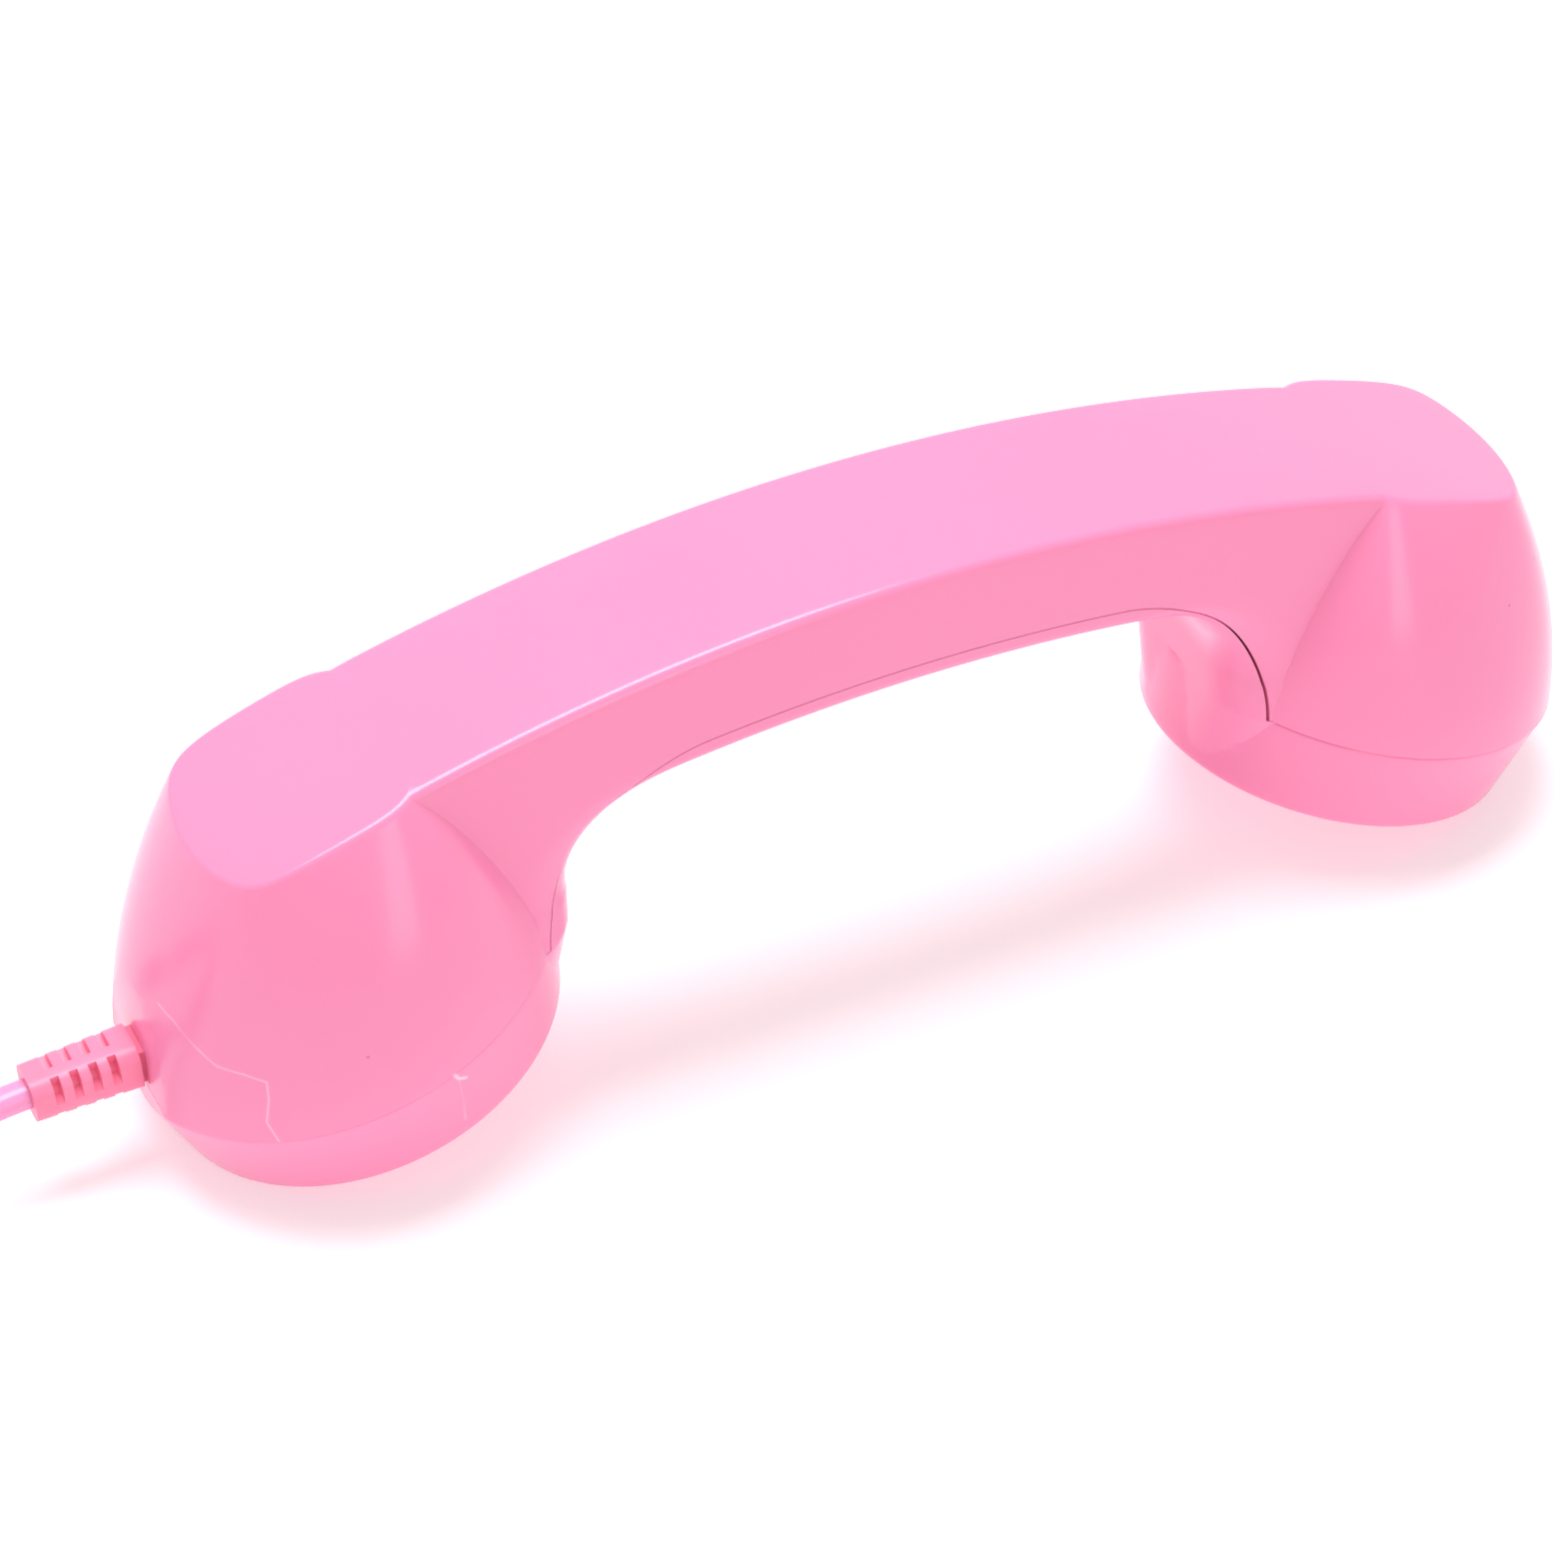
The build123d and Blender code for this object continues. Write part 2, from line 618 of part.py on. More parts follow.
def receiver_parts():
    w = stack_w()
    yoke_base = w["yoke"] - YOKE_H
    magnet_base = w["yoke"] - YOKE_FLOOR - MAGNET_H
    pole_base = magnet_base - POLE_H
    ledge = w["basket"] + BASKET_LEDGE
    hole = rod(COVER_HOLE_R, COVER_H + 2 * CUT, w["cover"] - CUT)
    perforated = rod(CAPSULE_R, COVER_H, w["cover"]) - hole
    for k in range(COVER_HOLES):
        a = 2 * pi * k / COVER_HOLES
        perforated = perforated - Pos(COVER_HOLE_RING * cos(a), COVER_HOLE_RING * sin(a)) * hole
    basket = rod(CAPSULE_R, BASKET_H, w["basket"])
    basket = basket - rod(CAPSULE_R - BASKET_LIP, BASKET_LEDGE + CUT, w["basket"] - CUT)
    basket = basket - rod(BASKET_BORE, BASKET_H - BASKET_FLOOR + CUT, w["basket"] - CUT)
    basket = basket - rod(YOKE_R + FIT, BASKET_H + 2 * CUT, w["basket"] - CUT)
    yoke = rod(YOKE_R, YOKE_H, yoke_base) - rod(YOKE_IN, YOKE_H - YOKE_FLOOR + CUT, yoke_base - CUT)
    back = w["back"]
    strap = block(-RETAINER_EAR, RETAINER_EAR, -RETAINER_EAR_R, RETAINER_EAR_R, back, back + RETAINER_H)
    retainer = rod(CAPSULE_R, RETAINER_H, back) + strap
    for e in (-RETAINER_EAR, RETAINER_EAR):
        retainer = retainer + Pos(e, 0) * rod(RETAINER_EAR_R, RETAINER_H, back)
        retainer = retainer - Pos(e, 0) * small_bore(RETAINER_H, back)
    retainer = retainer - rod(RETAINER_IN, RETAINER_H + 2 * CUT, back - CUT)
    parts = {
        "receiver_cloth": rod(CLOTH_R, CLOTH_H, w["gasket"]),
        "receiver_gasket": tube(CAPSULE_R, GASKET_IN, GASKET_H, w["gasket"]),
        "receiver_cover": perforated,
        "receiver_basket": basket,
        "receiver_diaphragm": diaphragm(ledge),
        "receiver_coil": tube(COIL_OUT, COIL_IN, COIL_H, ledge),
        "receiver_pole_plate": rod(POLE_R, POLE_H, pole_base),
        "receiver_magnet": rod(MAGNET_R, MAGNET_H, magnet_base),
        "receiver_yoke": yoke,
        "receiver_board": rod(BOARD_DISC_R, BOARD_H, w["yoke"]),
        "receiver_retainer": retainer,
    }
    return {name: in_cup(1, shape) for name, shape in parts.items()}


def diaphragm(seat):
    # A flat rim that sits on the basket's ledge and a low cap inside the coil
    low = seat - DIAPHRAGM_H
    rim = CAPSULE_R - BASKET_LIP - FIT
    edge = COIL_IN - DIAPHRAGM_CAP_SET
    flat = edge / 2
    top = DIAPHRAGM_DOME
    upper = [(rim, 0, low), (rim, 0, seat), (edge, 0, seat), (flat, 0, seat + top), (0, 0, seat + top)]
    lower = [(0, 0, low + top), (flat, 0, low + top), (edge, 0, low)]
    profile = Polyline(*upper, *lower, close=True)
    return revolve(make_face(profile.edges()), Axis.Z)


def receiver_screws():
    w = stack_w()
    seat = w["back"] + RETAINER_H
    return [in_cup(1, Pos(e, 0, seat) * small_screw()) for e in (-RETAINER_EAR, RETAINER_EAR)]


# Microphone

def mic_parts():
    w = mic_w()
    boot_h = w["board"] - w["boot"]
    boot = rod(BOOT_R, boot_h, w["boot"]) - rod(MIC_R + FIT, boot_h, w["can"])
    boot = boot - rod(BOOT_FRONT_R, BOOT_FRONT + 2 * CUT, w["boot"] - CUT)
    bracket = block(-BRACKET_LONG / 2, BRACKET_LONG / 2, -BRACKET_WIDE / 2, BRACKET_WIDE / 2,
                    w["bracket"], w["bracket"] + BRACKET_H)
    bracket = bracket - rod(BRACKET_BORE, BRACKET_H + 2 * CUT, w["bracket"] - CUT)
    for e in (-BRACKET_POST, BRACKET_POST):
        bracket = bracket - Pos(e, 0) * small_bore(BRACKET_H, w["bracket"])
    parts = {
        "mic_felt": rod(FELT_R, FELT_H, w["felt"]),
        "mic_boot": boot,
        "mic_can": rod(MIC_R, MIC_H, w["can"]),
        "mic_board": rod(MIC_BOARD_R, MIC_BOARD_H, w["board"]),
        "mic_bracket": bracket,
    }
    return {name: in_cup(-1, shape) for name, shape in parts.items()}


def mic_screws():
    top = mic_w()["bracket"] + BRACKET_H
    return [in_cup(-1, Pos(e, 0, top) * small_screw()) for e in (-BRACKET_POST, BRACKET_POST)]


def terminal_board():
    base = FLOOR_W + TERMINAL_RISE
    board = block(TERMINAL_E - TERMINAL_LONG / 2, TERMINAL_E + TERMINAL_LONG / 2,
                  -TERMINAL_Y - TERMINAL_WIDE / 2, -TERMINAL_Y + TERMINAL_WIDE / 2, base, base + TERMINAL_H)
    for e, y in terminal_posts():
        board = board - Pos(e, -y) * small_bore(TERMINAL_H, base)
    return in_cup(-1, board)


def board_screws():
    top = FLOOR_W + TERMINAL_RISE + TERMINAL_H
    return [in_cup(-1, Pos(e, -y, top) * small_screw()) for e, y in terminal_posts()]


# Grip

def case_screws():
    turned = Rotation(180, 0, 0) * screw(CASE_HEAD_R, CASE_HEAD_H, CASE_SHANK_R, CASE_SHANK_LONG)
    return [Pos(x, 0, case_floor()) * turned for x in (-CASE_SCREW_X, CASE_SCREW_X)]


def ballast_bar():
    bar = block(-BALLAST_LONG / 2, BALLAST_LONG / 2, -BALLAST_WIDE / 2, BALLAST_WIDE / 2,
                BALLAST_Z - BALLAST_H, BALLAST_Z)
    for x in ballast_holes():
        bar = bar - Pos(x, 0) * small_bore(BALLAST_H, BALLAST_Z - BALLAST_H)
    return bar


def ballast_screws():
    shank = BALLAST_H + BALLAST_PILOT - BALLAST_SCREW_END
    long_screw = screw(SMALL_HEAD_R, SMALL_HEAD_H, SMALL_SHANK_R, shank)
    return [Pos(x, 0, BALLAST_Z - BALLAST_H) * Rotation(180, 0, 0) * long_screw for x in ballast_holes()]


# Cord, strain relief and plug

def relief_frame():
    return Plane((-LAND_X - RELIEF_GAP, 0, RELIEF_Z), x_dir=(0, 1, 0), z_dir=(-cos(DROOP), 0, -sin(DROOP)))


def relief_end():
    frame = relief_frame()
    return frame.origin + frame.z_dir * RELIEF_LONG


def relief_slots():
    # Rows of four slots round the barrel, with a web between each two
    core_r = RELIEF_END_HIGH / 2 - RELIEF_SLOT_DEPTH
    slots = None
    for k in range(RELIEF_SLOTS):
        base = RELIEF_FLANGE + k * RELIEF_PITCH
        row = block(-RELIEF_WIDE, RELIEF_WIDE, -RELIEF_WIDE, RELIEF_WIDE, base, base + RELIEF_SLOT)
        row = row - rod(core_r, RELIEF_SLOT + 2 * CUT, base - CUT)
        web = block(-RELIEF_WIDE, RELIEF_WIDE, -RELIEF_WEB / 2, RELIEF_WEB / 2,
                    base - CUT, base + RELIEF_SLOT + CUT)
        for turn in (0, 90):
            row = row - Rotation(0, 0, turn - RELIEF_WEB_TURN) * web
        slots = row if slots is None else slots + row
    return slots


def strain_relief():
    near = RectangleRounded(RELIEF_WIDE, RELIEF_HIGH, RELIEF_CORNER)
    far = Pos(0, 0, RELIEF_LONG) * RectangleRounded(RELIEF_END_WIDE, RELIEF_END_HIGH, RELIEF_CORNER)
    barrel = loft([near.face(), far.face()], ruled=True) - relief_slots()
    relief = relief_frame() * barrel
    flange = cradle_x()[0]
    half = RELIEF_NECK_HALF
    high = RELIEF_NECK_HIGH / 2
    neck = block(-LAND_X - RELIEF_GAP - RELIEF_LAP, -LAND_X + LAND_WALL + RELIEF_LAP, -half, half,
                 RELIEF_Z - high, RELIEF_Z + high)
    inner = block(-LAND_X + LAND_WALL + FIT, flange, -RELIEF_INNER_HALF, RELIEF_INNER_HALF,
                  RELIEF_Z - RELIEF_INNER_LOW, RELIEF_Z + RELIEF_INNER_HALF)
    return relief + neck + inner


def cord_tail():
    flange, x0, x1 = cradle_x()
    return Plane((flange, 0, RELIEF_Z), z_dir=(1, 0, 0)) * rod(CORD_R, x1 - flange + TAIL_OVER)


def cord_clamp():
    flange, x0, x1 = cradle_x()
    plate = block(x0, x1, -CRADLE_HALF, CRADLE_HALF, clamp_z(), clamp_z() + CLAMP_H)
    for y in (-CRADLE_SCREW_Y, CRADLE_SCREW_Y):
        plate = plate - Pos((x0 + x1) / 2, y) * small_bore(CLAMP_H, clamp_z())
    return plate


def clamp_screws():
    flange, x0, x1 = cradle_x()
    seat = clamp_z() + CLAMP_H
    return [Pos((x0 + x1) / 2, y, seat) * small_screw() for y in (-CRADLE_SCREW_Y, CRADLE_SCREW_Y)]


def arc_radii(points):
    # Each corner's radius is 0.45 of its shorter run, divided by the tangent of half the turn
    radii = []
    for before, here, after in zip(points, points[1:], points[2:]):
        turn = radians((here - before).get_angle(after - here))
        shorter = min((here - before).length, (after - here).length)
        radii.append(0.45 * shorter / tan(turn / 2))
    return radii


def cord_tube(points, radius, name):
    radii = arc_radii(points)
    path = FilletPolyline(*points, radius=radii)
    section = Plane(path @ 0, z_dir=path % 0) * Circle(radius)
    solid = sweep(section, path=path)
    print(name, "length", round(path.length, 1), "radii", [round(r, 1) for r in radii],
          "volume share", round(solid.volume / (pi * radius**2 * path.length), 4))
    return solid


# The lead's route: out of the strain relief, down in an easy bend and level into the curly stretch
LEAD_POINTS = ((-118.96, 0, 14.64), (-124.02, 0, 13.43), (-131.36, -0.6, 10.24), (-140.0, -2.2, 7.3),
               (-148.9, CURLY_Y, CURLY_Z), (-157.0, CURLY_Y, CURLY_Z))


def cord_lead():
    points = [relief_end()] + [Vector(*p) for p in LEAD_POINTS]
    return cord_tube(points, CORD_R, "cord_lead")


def curly_path():
    # Two legs side by side on the table, the second one shorter, with a half turn between them
    start = Vector(*LEAD_POINTS[-1])
    corner = start + Vector(-CURLY_LEG, 0, 0)
    far = corner + Vector(0, 2 * CURLY_BEND_R, 0)
    mid = corner + Vector(-CURLY_BEND_R, CURLY_BEND_R, 0)
    return Wire([Edge.make_line(start, corner), Edge.make_three_point_arc(corner, mid, far),
                 Edge.make_line(far, far + Vector(CURLY_BACK, 0, 0))])


def curly_cord():
    path = curly_path()
    section = Plane(path @ 0, z_dir=path % 0) * Circle(CURLY_R)
    print("curly_cord length", round(path.length, 1))
    return sweep(section, path=path)


# The plug's lead goes on in line with the second leg and sinks until the plug lies on the table
PLUG_LEAD_POINTS = ((7, 0, 0), (15, 0, -1.6), (22, 0, -1.6))


def plug_lead_points():
    start = curly_path() @ 1
    return [start] + [start + Vector(*p) for p in PLUG_LEAD_POINTS]


def plug_lead():
    return cord_tube(plug_lead_points(), CORD_R, "plug_lead")


def plug_frame():
    last = plug_lead_points()[-1]
    return Plane(last, z_dir=(1, 0, 0))


def plug_body():
    neck = loft([Plane.XY * Circle(PLUG_NECK_R), Plane.XY.offset(PLUG_NOSE) * Circle(PLUG_R)], ruled=True)
    return plug_frame() * (neck + rod(PLUG_R, PLUG_LONG - PLUG_NOSE, PLUG_NOSE))


def plug_pin():
    return plug_frame() * rod(PIN_R, PIN_LONG, PLUG_LONG)


def build():
    space = inner_space()
    nodes = {"outer_shell": [outer_shell(space)], "inner_shell": [inner_shell(space)]}
    for parts in (receiver_parts(), mic_parts()):
        for name, shape in parts.items():
            nodes[name] = [shape]
    nodes["receiver_screws"] = receiver_screws()
    nodes["mic_screws"] = mic_screws()
    nodes["terminal_board"] = [terminal_board()]
    nodes["board_screws"] = board_screws()
    nodes["case_screws"] = case_screws()
    nodes["ballast_bar"] = [ballast_bar()]
    nodes["ballast_screws"] = ballast_screws()
    nodes["strain_relief"] = [strain_relief()]
    nodes["cord_tail"] = [cord_tail()]
    nodes["cord_clamp"] = [cord_clamp()]
    nodes["clamp_screws"] = clamp_screws()
    nodes["cord_lead"] = [cord_lead()]
    nodes["curly_cord"] = [curly_cord()]
    nodes["plug_lead"] = [plug_lead()]
    nodes["plug_body"] = [plug_body()]
    nodes["plug_pin"] = [plug_pin()]
    return nodes


def write(name, shapes):
    # The origin is in the middle of the handset's own box, so all pieces move over by the same length
    solids = [Pos(-ORIGIN_X, 0, 0) * solid for shape in shapes for solid in shape.solids()]
    export_step(solids[0] if len(solids) == 1 else Compound(solids), "parts/" + name + ".step")


os.makedirs("parts", exist_ok=True)
for node, shapes in build().items():
    write(node, shapes)
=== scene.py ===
# %% [markdown]
# A telephone handset, piece by piece.
# The handset is two moulded shells. The outer shell is the back of the grip with a dome over each cup. The
# inner shell is the band under the grip, the two necks and the two rings that end in the flat faces. A
# moulded strain relief holds the cord at the mouth end. The frame below brings every piece of the
# construction at its real size, so what follows only gives those pieces their finish and their soft edges.

import json
from math import acos, atan2, cos, hypot, pi, radians, sin, sqrt, tan

import bmesh
import bpy
import numpy as np
from mathutils import Matrix, Vector


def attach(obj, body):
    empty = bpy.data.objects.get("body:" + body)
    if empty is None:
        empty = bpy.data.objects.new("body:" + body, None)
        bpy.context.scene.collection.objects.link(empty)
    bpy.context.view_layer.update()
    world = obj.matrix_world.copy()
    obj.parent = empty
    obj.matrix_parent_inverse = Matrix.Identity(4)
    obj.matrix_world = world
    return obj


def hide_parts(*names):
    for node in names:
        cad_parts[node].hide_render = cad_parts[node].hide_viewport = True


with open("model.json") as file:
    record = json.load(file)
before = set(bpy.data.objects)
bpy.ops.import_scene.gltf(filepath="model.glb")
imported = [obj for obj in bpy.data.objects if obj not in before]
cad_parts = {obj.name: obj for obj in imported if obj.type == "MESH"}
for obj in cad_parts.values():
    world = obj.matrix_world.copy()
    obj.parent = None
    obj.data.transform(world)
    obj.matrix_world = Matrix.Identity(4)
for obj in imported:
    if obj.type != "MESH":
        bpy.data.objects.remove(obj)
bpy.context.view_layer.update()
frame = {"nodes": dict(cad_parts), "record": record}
MM = 0.001
print("nodes:", len(frame["nodes"]))

# %% [markdown]
# The sizes of the handset, in millimetres, are the ones that its construction uses. Each cup has a rim, which
# is its widest ring, and a face, which is its flat lower end. A cup's own axes are e, outwards along the rim,
# y, across the handset, and w, square to the rim and away from the face.

# %% Sizes
CUP_X = 74.5
TILT = radians(16.4)
RIM_LONG, RIM_WIDE = 29.4, 26.45
FACE_LONG, FACE_WIDE, FACE_DEPTH = 26.46, 24.08, 13.56
FACE_EDGE_R = 1.2
GRIP_TOP_Z, GRIP_TOP_R = 66.85, 242.8
GRIP_UNDER_Z, GRIP_UNDER_R = 51.45, 244.9
NECK_R, NECK_SET = 16.1, 0.2
LAND_X, LAND_HALF, LAND_LOW, LAND_HIGH = 100.9, 9.5, 4.0, 27.0

EDGE_TURN = acos(-(RIM_LONG - FACE_LONG) / hypot(RIM_LONG - FACE_LONG, FACE_DEPTH))
FOOT_LIFT = FACE_EDGE_R * (cos(TILT) + sin(TILT) / tan(EDGE_TURN / 2) - 1)
RIM_Z = FACE_DEPTH * cos(TILT) + FACE_LONG * sin(TILT) - FOOT_LIFT
TOP_C = GRIP_TOP_Z - GRIP_TOP_R
UNDER_C = GRIP_UNDER_Z - GRIP_UNDER_R
NECK_X = CUP_X - RIM_LONG * cos(TILT) + NECK_SET
END_X = CUP_X + RIM_LONG * cos(TILT)
ORIGIN_X = (END_X - LAND_X) / 2


def to_frame(points):
    # Millimetres about the middle of the grip, to metres in the handset's frame
    return (np.asarray(points, float) - (ORIGIN_X, 0, 0)) * MM


def cup_points(side, e, y, w):
    x = CUP_X + e * cos(TILT) + w * sin(TILT)
    z = RIM_Z - e * sin(TILT) + w * cos(TILT)
    return np.stack([side * x, np.broadcast_to(y, np.shape(x)), z], -1)


print("rim height", round(RIM_Z, 2), "end", round(END_X, 2))

# %% [markdown]
# The camera stands in front of the handset, to the left and above it, with a long lens, as in a product
# photograph. Its place and turn were found by matching the outline of the handset, so the numbers are exact
# rather than round. The three directions of the picture, right, up and back, are the columns of its matrix.

# %% Camera
CAMERA_AT = (-0.2385, -0.4422, 0.4749)
CAMERA_RIGHT = Vector((0.8976, -0.4404, 0.0187))
CAMERA_UP = Vector((0.2827, 0.6075, 0.7423))
CAMERA_LENS, CAMERA_SENSOR, CAMERA_NEAR = 118.86, 36, 0.01


def make_camera():
    data = bpy.data.cameras.new("camera")
    data.lens = CAMERA_LENS
    data.sensor_width = CAMERA_SENSOR
    data.clip_start = CAMERA_NEAR
    right = CAMERA_RIGHT.normalized()
    up = (CAMERA_UP - right * CAMERA_UP.dot(right)).normalized()
    back = right.cross(up)
    camera = bpy.data.objects.new("camera", data)
    bpy.context.collection.objects.link(camera)
    turn = Matrix((right, up, back)).transposed().to_4x4()
    camera.matrix_world = Matrix.Translation(CAMERA_AT) @ turn
    bpy.context.scene.camera = camera
    print("camera lens", CAMERA_LENS, "mm, distance", round(Vector(CAMERA_AT).length, 3), "m")


make_camera()

# %% [markdown]
# Each finish is a small tree of nodes. Moulded plastic isn't one flat colour: it is a little paler or deeper
# from place to place, its gloss varies, and light catches the faint waviness that the mould leaves. Noise on
# the Object coordinates gives all three, because those coordinates stay with the piece from every side.

# %% The nodes of a finish
PATCH_LOW, PATCH_HIGH = 0.35, 0.65
GLOSS_SCALE = 0.4
GRAIN_DETAIL = 4.0


def plain_tree(name):
    material = bpy.data.materials.new(name)
    material.use_nodes = True
    tree = material.node_tree
    shader = tree.nodes["Principled BSDF"]
    where = tree.nodes.new("ShaderNodeTexCoord").outputs["Object"]
    return material, tree, shader, where


def noise(tree, where, scale, detail=3.0):
    node = tree.nodes.new("ShaderNodeTexNoise")
    node.inputs["Scale"].default_value = scale
    node.inputs["Detail"].default_value = detail
    tree.links.new(where, node.inputs["Vector"])
    return node.outputs["Fac"]


def patches(tree, value, first, second):
    # Two colours that change over within the middle of the noise's range
    node = tree.nodes.new("ShaderNodeValToRGB")
    low, high = node.color_ramp.elements
    low.position, high.position = PATCH_LOW, PATCH_HIGH
    low.color, high.color = (*first, 1), (*second, 1)
    tree.links.new(value, node.inputs["Fac"])
    return node.outputs["Color"]


def spread(tree, value, low, high):
    node = tree.nodes.new("ShaderNodeMapRange")
    node.inputs["To Min"].default_value = low
    node.inputs["To Max"].default_value = high
    tree.links.new(value, node.inputs["Value"])
    return node.outputs["Result"]


def bump(tree, shader, height, strength, distance):
    node = tree.nodes.new("ShaderNodeBump")
    node.inputs["Strength"].default_value = strength
    node.inputs["Distance"].default_value = distance
    tree.links.new(height, node.inputs["Height"])
    tree.links.new(node.outputs["Normal"], shader.inputs["Normal"])


def finish_of(name, first, second, rough, metal=0.0, grain=220.0, relief=0.08, relief_size=0.0002,
              patch=18.0):
    # Two close colours in soft patches, a gloss between two values, and a fine grain in the surface
    material, tree, shader, where = plain_tree(name)
    colour = patches(tree, noise(tree, where, patch), first, second)
    tree.links.new(colour, shader.inputs["Base Color"])
    gloss = spread(tree, noise(tree, where, grain * GLOSS_SCALE), *rough)
    tree.links.new(gloss, shader.inputs["Roughness"])
    bump(tree, shader, noise(tree, where, grain, GRAIN_DETAIL), relief, relief_size)
    shader.inputs["Metallic"].default_value = metal
    return material, shader


# %% [markdown]
# This handset has been used. A pale crack runs down from the strain relief and over the seam, the near side
# of the mouth cup has a chip with a thin line under it, and a few dark specks lie on the plastic. Such marks
# are too fine to model, so the colour of the plastic changes close to a line through a few points.

# %% Marks of use
CRACK = ((-100.54, -5.95, 29.15), (-99.78, -8.97, 28.62), (-98.13, -13.43, 26.62), (-96.85, -15.66, 25.52),
         (-94.51, -18.29, 25.54), (-92.21, -20.31, 25.02), (-92.25, -20.72, 22.3), (-92.72, -20.75, 18.7),
         (-91.54, -21.68, 15.54))
CHIP = ((-69.86, -25.91, 21.79), (-69.08, -25.57, 20.45), (-68.01, -25.24, 19.86))
CHIP_LINE = ((-69.08, -25.57, 20.45), (-68.3, -24.9, 15.6), (-67.92, -24.26, 11.68))
SPECKS = ((-80.75, -24.96, 28.68), (90.52, -15.26, 40.35), (83.75, -20.26, 38.44))
SPECK_LONG = 0.1
PALE, PALER, DARK = (1.0, 0.78, 0.90), (1.0, 0.86, 0.93), (0.55, 0.10, 0.20)
# The line through a mark, its half width in millimetres, how much of the tint it takes, and the tint
MARKS = [(CRACK, 0.26, 0.40, PALE), (CHIP_LINE, 0.24, 0.28, PALE), (CHIP, 0.45, 0.70, PALER)]
MARKS += [(((x, y, z), (x + SPECK_LONG, y, z)), 0.30, 0.6, DARK) for x, y, z in SPECKS]


def stroke_group():
    # A node group that gives 1 close to the stretch between two points and 0 beyond a width
    group = bpy.data.node_groups.new("stroke", "ShaderNodeTree")
    for name, kind in (("Point", "Vector"), ("From", "Vector"), ("To", "Vector"), ("Width", "Float")):
        group.interface.new_socket(name, in_out="INPUT", socket_type="NodeSocket" + kind)
    group.interface.new_socket("Mask", in_out="OUTPUT", socket_type="NodeSocketFloat")
    enter, leave = group.nodes.new("NodeGroupInput"), group.nodes.new("NodeGroupOutput")

    def vector(operation, first, second, output="Vector"):
        node = group.nodes.new("ShaderNodeVectorMath")
        node.operation = operation
        group.links.new(first, node.inputs[0])
        group.links.new(second, node.inputs["Scale"] if operation == "SCALE" else node.inputs[1])
        return node.outputs[output]

    run = vector("SUBTRACT", enter.outputs["To"], enter.outputs["From"])
    reach = vector("SUBTRACT", enter.outputs["Point"], enter.outputs["From"])
    share = group.nodes.new("ShaderNodeMath")
    share.operation = "DIVIDE"
    share.use_clamp = True
    group.links.new(vector("DOT_PRODUCT", reach, run, "Value"), share.inputs[0])
    group.links.new(vector("DOT_PRODUCT", run, run, "Value"), share.inputs[1])
    gap = vector("DISTANCE", reach, vector("SCALE", run, share.outputs[0]), "Value")
    fall = group.nodes.new("ShaderNodeMapRange")
    fall.interpolation_type = "SMOOTHSTEP"
    fall.inputs["To Min"].default_value = 1.0
    fall.inputs["To Max"].default_value = 0.0
    group.links.new(gap, fall.inputs["Value"])
    group.links.new(enter.outputs["Width"], fall.inputs["From Max"])
    group.links.new(fall.outputs["Result"], leave.inputs["Mask"])
    return group


STROKE = stroke_group()


def larger(tree, first, second):
    node = tree.nodes.new("ShaderNodeMath")
    node.operation = "MAXIMUM"
    tree.links.new(first, node.inputs[0])
    tree.links.new(second, node.inputs[1])
    return node.outputs[0]


def strokes(tree, where, points, width):
    # The strongest of the strokes from each point to the next
    mask = None
    for start, stop in zip(points, points[1:]):
        node = tree.nodes.new("ShaderNodeGroup")
        node.node_tree = STROKE
        node.inputs["From"].default_value = [c * MM for c in start]
        node.inputs["To"].default_value = [c * MM for c in stop]
        node.inputs["Width"].default_value = width * MM
        tree.links.new(where, node.inputs["Point"])
        stroke = node.outputs["Mask"]
        mask = stroke if mask is None else larger(tree, mask, stroke)
    return mask


def mark(tree, shader, mask, amount, tint):
    # Lays a tint over the shader's colour where the mask says
    base = shader.inputs["Base Color"]
    mix = tree.nodes.new("ShaderNodeMix")
    mix.data_type = "RGBA"
    under, over = [socket for socket in mix.inputs if socket.type == "RGBA"]
    over.default_value = (*tint, 1)
    tree.links.new(base.links[0].from_socket, under)
    tree.links.new(spread(tree, mask, 0.0, amount), mix.inputs[0])
    tree.links.new(next(socket for socket in mix.outputs if socket.type == "RGBA"), base)


print("marks:", len(MARKS), "strokes:", sum(len(points) - 1 for points, *_ in MARKS))

# %% [markdown]
# Three pinks make up what one sees. The shells are glossy hard plastic, the strain relief is duller, deeper
# vinyl, and the cord's jacket is a softer, cooler pink. Light sinks a little way into all three before it
# comes out again, so each has some subsurface scattering, which a flat pink paint would lack.

# %% The pinks
GLOW_DEPTH = 0.002


def glow(shader, weight, radius):
    shader.inputs["Subsurface Weight"].default_value = weight
    shader.inputs["Subsurface Radius"].default_value = radius
    shader.inputs["Subsurface Scale"].default_value = GLOW_DEPTH


def pink_shell():
    material, shader = finish_of("pink_plastic", (1.0, 0.276, 0.494), (0.99, 0.262, 0.476), (0.16, 0.22),
                                 grain=90.0, relief=0.03, relief_size=0.0004, patch=14.0)
    tree = material.node_tree
    where = tree.nodes["Texture Coordinate"].outputs["Object"]
    for points, width, amount, tint in MARKS:
        mark(tree, shader, strokes(tree, where, points, width), amount, tint)
    shader.inputs["IOR"].default_value = 1.49
    glow(shader, 0.12, (1.0, 0.35, 0.45))
    return material


